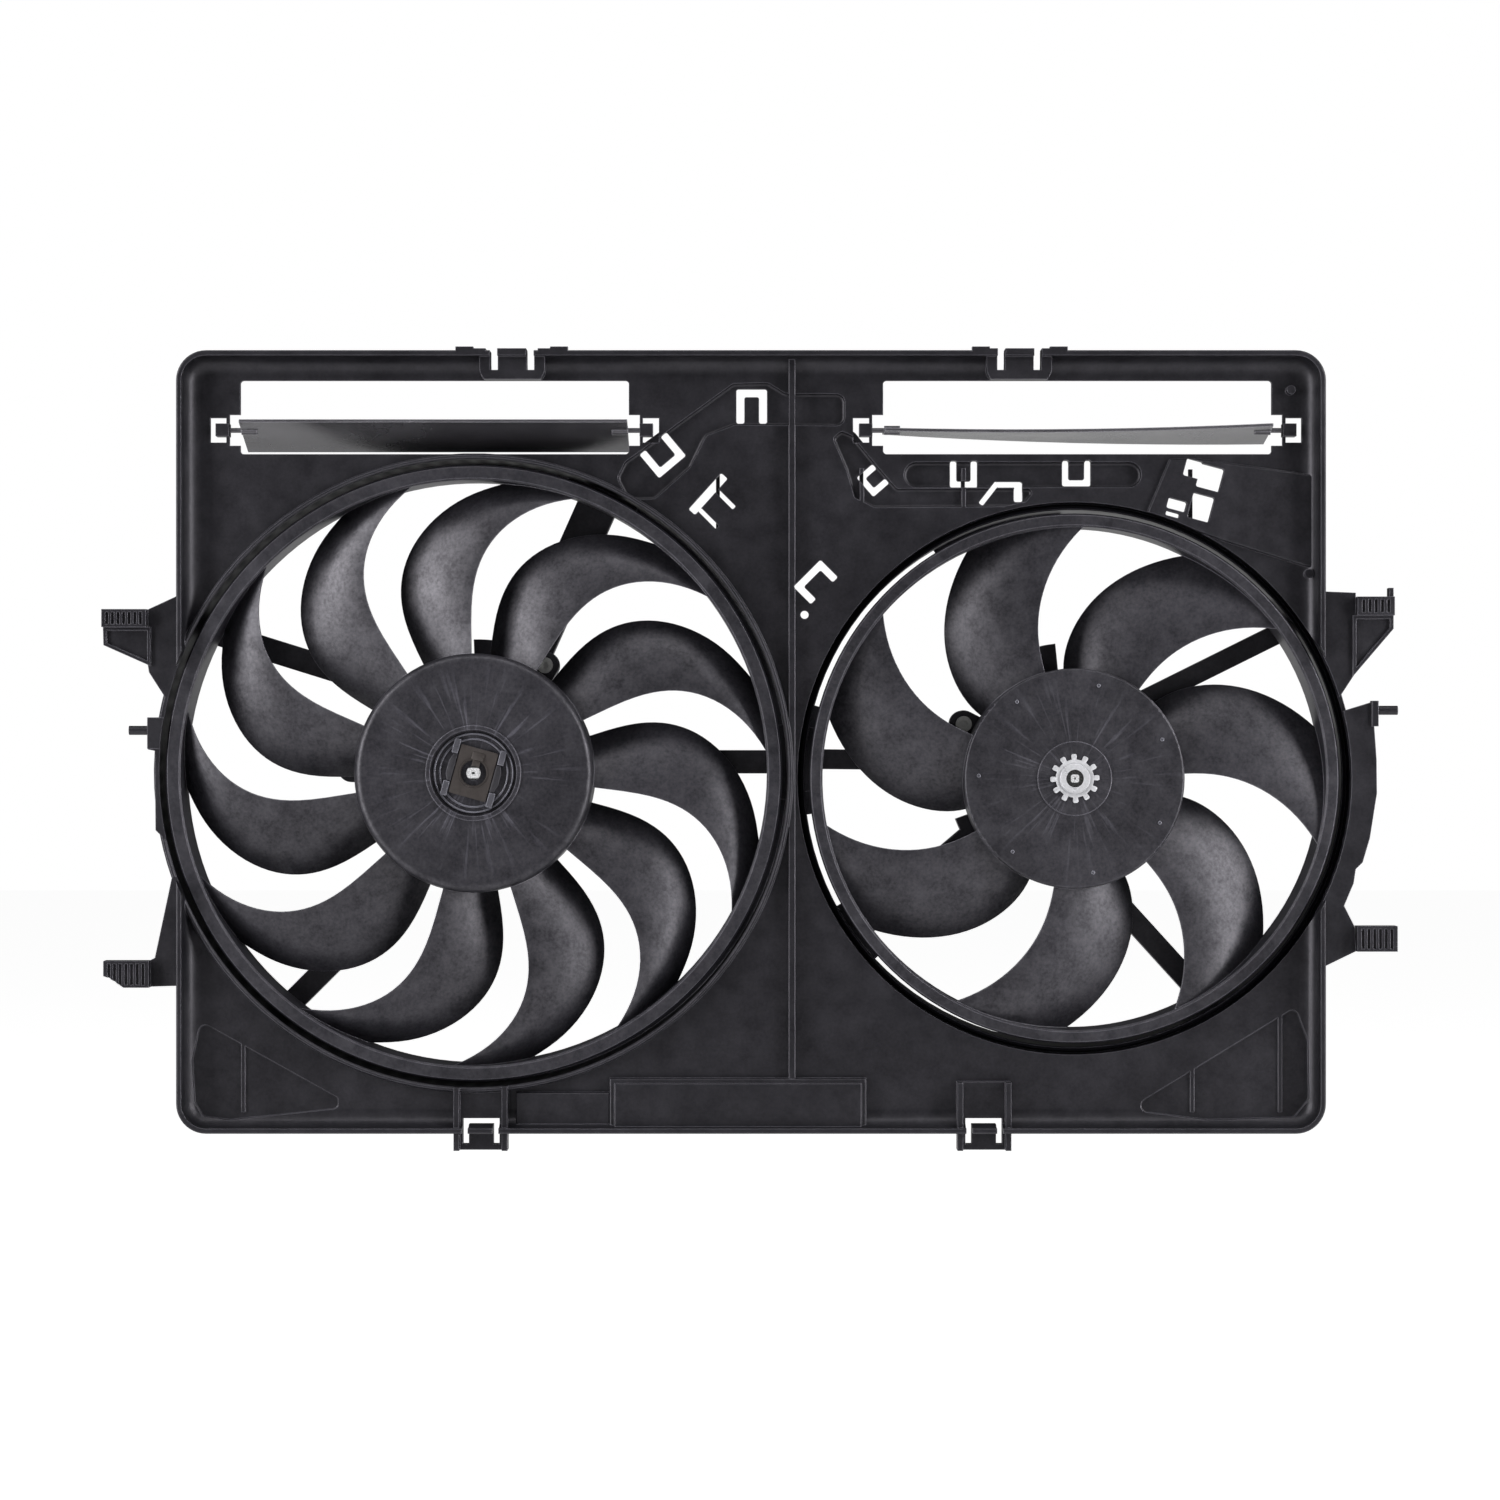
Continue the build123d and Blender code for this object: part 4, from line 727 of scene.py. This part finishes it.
class FANMODULE_OT_fixings(bpy.types.Operator):
    """Makes the clip, the lock washer and what lies around them"""

    bl_idname = "fan_module.fixings"
    bl_label = "Fan fixings"

    def execute(self, context):
        colours, sizes, _ = settings()
        crisp = sizes.smooth_angle
        steel = bare_metal("clip_dull_steel", colours.clip, roughness=0.42, metal=0.6)
        bright = bare_metal("washer_bright_steel", colours.washer, roughness=0.3, metal=0.4)
        rubber = moulded_plastic("clip_pad_rubber", colours.rubber, gloss=0.6, grain=0.4)
        # Painted light: the posts, recess steps and ejector marks get a lighter colour than the wheel
        # they are moulded on
        posts = moulded_plastic("hub_post_plastic", colours.posts, gloss=0.28, grain=0.15, level=0.5)
        wheel = moulded_plastic("second_hub_mark_plastic", colours.posts, gloss=0.34, grain=0.2)
        finish_mesh(clip_plate(), "clip_plate", steel, "main_fan", crisp,
                    ("main_fan_clip",))
        finish_mesh(clip_posts(), "clip_posts", posts, "main_fan", crisp)
        finish_mesh(clip_pads(), "clip_pads", rubber, "main_fan", crisp)
        finish_mesh(recess_steps(), "recess_steps", posts, "main_fan", crisp)
        finish_mesh(washer_star(), "washer_star", bright, "second_fan", crisp,
                    ("second_fan_lock_washer",))
        finish_mesh(ejector_marks(), "ejector_marks", wheel, "second_fan", crisp)
        for node, centre, half_width, half_height in SHAFT_ENDS:
            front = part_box(node)[0][1]
            repaint(node, shaft_end_steel(node + "_end", colours.shaft, centre, half_width * MM,
                                          half_height * MM, front))
        return {"FINISHED"}


class FANMODULE_OT_motors(bpy.types.Operator):
    """Finishes every piece of the two motors"""

    bl_idname = "fan_module.motors"
    bl_label = "Motors"

    def execute(self, context):
        colours = settings()[0]
        can = moulded_plastic("motor_can_paint", colours.motor, gloss=0.34, grain=0.15)
        zinc = bare_metal("zinc_plating", tint(colours.zinc, 0.7), 0.34)
        bronze = bare_metal("bearing_bronze_metal", colours.bronze, 0.45)
        copper = bare_metal("turned_copper", colours.copper, 0.28)
        finishes = {
            "_motor_can": can,
            "_motor_screws": zinc,
            "_front_bearing": bronze,
            "_rear_bearing": bronze,
            "_magnets": pressed_matter("ferrite_magnet", colours.ferrite, 0.5),
            "_rotor_core": stacked_sheets("rotor_sheets", colours.zinc),
            "_rotor_windings": wound_copper("rotor_wire", colours.copper),
            "_commutator": copper,
            "_brushes": pressed_matter("brush_carbon_block", colours.ferrite, 0.6),
            "_brush_springs": zinc,
            "_brush_card": pressed_matter("brush_card_board", colours.resin, 0.55),
            "_end_plate": zinc,
            "_motor_socket": moulded_plastic("socket_black_plastic", colours.shroud, gloss=0.45,
                                             grain=0.3),
            "_motor_terminals": bare_metal("terminal_brass_metal", colours.bronze, 0.25),
        }
        for fan in ("main", "second"):
            for ending, material in finishes.items():
                repaint(fan + ending, material)
        return {"FINISHED"}


# Stage

def seen_rays(tree, mirrored):
    """One for rays from the camera, also past glass, a share for mirrored rays, else none."""
    path = tree.nodes.new("ShaderNodeLightPath")
    value = path.outputs["Is Camera Ray"]
    for kind, share in (("Is Transmission Ray", 1.0), ("Is Glossy Ray", mirrored)):
        part = tree.nodes.new("ShaderNodeMath")
        part.operation = "MULTIPLY"
        tree.links.new(path.outputs[kind], part.inputs[0])
        part.inputs[1].default_value = share
        larger = tree.nodes.new("ShaderNodeMath")
        larger.operation = "MAXIMUM"
        tree.links.new(value, larger.inputs[0])
        tree.links.new(part.outputs[0], larger.inputs[1])
        value = larger.outputs[0]
    return value


def white_seen(name, base, near_glow, far_glow):
    """A pale surface that keeps shadows and is white to the camera where none falls."""
    nodes = Nodes(name)
    shader = nodes.add("ShaderNodeBsdfDiffuse")
    shader.inputs["Color"].default_value = (*base, 1.0)
    away = nodes.add("ShaderNodeVectorMath", operation="LENGTH")
    nodes.link(nodes.add("ShaderNodeTexCoord").outputs["Object"], away.inputs[0])
    glow = nodes.spread(away.outputs["Value"], *GLOW_DISTANCES, near_glow, far_glow)
    light = nodes.add("ShaderNodeEmission")
    seen = seen_rays(nodes.tree, FLOOR_MIRRORED)
    nodes.link(nodes.math("MULTIPLY", seen, glow), light.inputs["Strength"])
    both = nodes.add("ShaderNodeAddShader")
    nodes.link(shader.outputs[0], both.inputs[0])
    nodes.link(light.outputs[0], both.inputs[1])
    nodes.link(both.outputs[0], nodes.output.inputs["Surface"])
    return nodes.material


def area_lamp(name, place, width, height, power):
    """A lamp with a face that is turned to the middle of the module."""
    data = bpy.data.lights.new(name, "AREA")
    data.shape = "RECTANGLE"
    data.size = width
    data.size_y = height
    data.energy = power
    lamp = bpy.data.objects.new(name, data)
    bpy.context.scene.collection.objects.link(lamp)
    lamp.location = place
    lamp.rotation_euler = (Vector((0.0, 0.0, 0.0)) - Vector(place)).to_track_quat("-Z", "Y").to_euler()


def pale_floor(material, drop):
    """The flat floor under the module."""
    work = bmesh.new()
    bmesh.ops.create_grid(work, x_segments=1, y_segments=1, size=FLOOR_HALF,
                          matrix=Matrix.Translation((0.0, 0.0, -drop)))
    mesh = bpy.data.meshes.new("floor")
    work.to_mesh(mesh)
    work.free()
    floor = bpy.data.objects.new("floor", mesh)
    bpy.context.scene.collection.objects.link(floor)
    mesh.materials.append(material)


def white_world(sky):
    """A world that looks white to the camera and lights the module only a little."""
    world = bpy.data.worlds.new("white_room")
    bpy.context.scene.world = world
    world.use_nodes = True
    tree = world.node_tree
    tree.nodes.clear()
    strength = tree.nodes.new("ShaderNodeMapRange")
    back = tree.nodes.new("ShaderNodeBackground")
    out = tree.nodes.new("ShaderNodeOutputWorld")
    tree.links.new(seen_rays(tree, 0.0), strength.inputs["Value"])
    strength.inputs["To Min"].default_value = sky
    strength.inputs["To Max"].default_value = 1.0
    back.inputs["Color"].default_value = (1.0, 1.0, 1.0, 1.0)
    tree.links.new(strength.outputs[0], back.inputs["Strength"])
    tree.links.new(back.outputs[0], out.inputs["Surface"])


def front_camera(stage):
    """The camera that sees the module as the photo does."""
    data = bpy.data.cameras.new("camera")
    data.sensor_width = SENSOR_WIDTH
    data.lens = data.sensor_width * stage.camera_distance / stage.frame_width
    camera = bpy.data.objects.new("camera", data)
    bpy.context.scene.collection.objects.link(camera)
    camera.location = (stage.camera_across, -stage.camera_distance, stage.camera_up)
    camera.rotation_euler = (math.radians(90.0), 0.0, 0.0)
    bpy.context.scene.camera = camera


class FANMODULE_OT_stage(bpy.types.Operator):
    """Makes the floor, the lamps, the world and the camera"""

    bl_idname = "fan_module.stage"
    bl_label = "Stage"

    def execute(self, context):
        colours, _, stage = settings()
        context.scene.view_settings.view_transform = "Standard"
        pale = white_seen("pale_floor", colours.floor, stage.backdrop, stage.far_glow)
        pale_floor(pale, stage.floor_drop)
        white_world(stage.sky)
        for name, place, width, height, power in LAMPS:
            area_lamp(name, place, width, height, getattr(stage, power))
        front_camera(stage)
        return {"FINISHED"}


BUILD_STEPS = (
    FANMODULE_OT_stage,
    FANMODULE_OT_shroud,
    FANMODULE_OT_wheels,
    FANMODULE_OT_flaps,
    FANMODULE_OT_fixings,
    FANMODULE_OT_motors,
)


class FANMODULE_PT_panel(bpy.types.Panel):
    """Lists the steps that build the module"""

    bl_idname = "FANMODULE_PT_panel"
    bl_label = "Fan module"
    bl_space_type = "VIEW_3D"
    bl_region_type = "UI"
    bl_category = "Fan module"

    def draw(self, context):
        for step in BUILD_STEPS:
            self.layout.operator(step.bl_idname)


GROUPS = (FanModuleColours, FanModuleSizes, FanModuleStage)


def register():
    for item in (*GROUPS, *BUILD_STEPS, FANMODULE_PT_panel):
        bpy.utils.register_class(item)
    bpy.types.Scene.fan_module_colours = PointerProperty(type=FanModuleColours)
    bpy.types.Scene.fan_module_sizes = PointerProperty(type=FanModuleSizes)
    bpy.types.Scene.fan_module_stage = PointerProperty(type=FanModuleStage)


def unregister():
    del bpy.types.Scene.fan_module_colours
    del bpy.types.Scene.fan_module_sizes
    del bpy.types.Scene.fan_module_stage
    for item in reversed((*GROUPS, *BUILD_STEPS, FANMODULE_PT_panel)):
        bpy.utils.unregister_class(item)


def main():
    register()
    for step in BUILD_STEPS:
        group, action = step.bl_idname.split(".")
        getattr(getattr(bpy.ops, group), action)()
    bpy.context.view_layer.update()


if __name__ == "__main__":
    main()
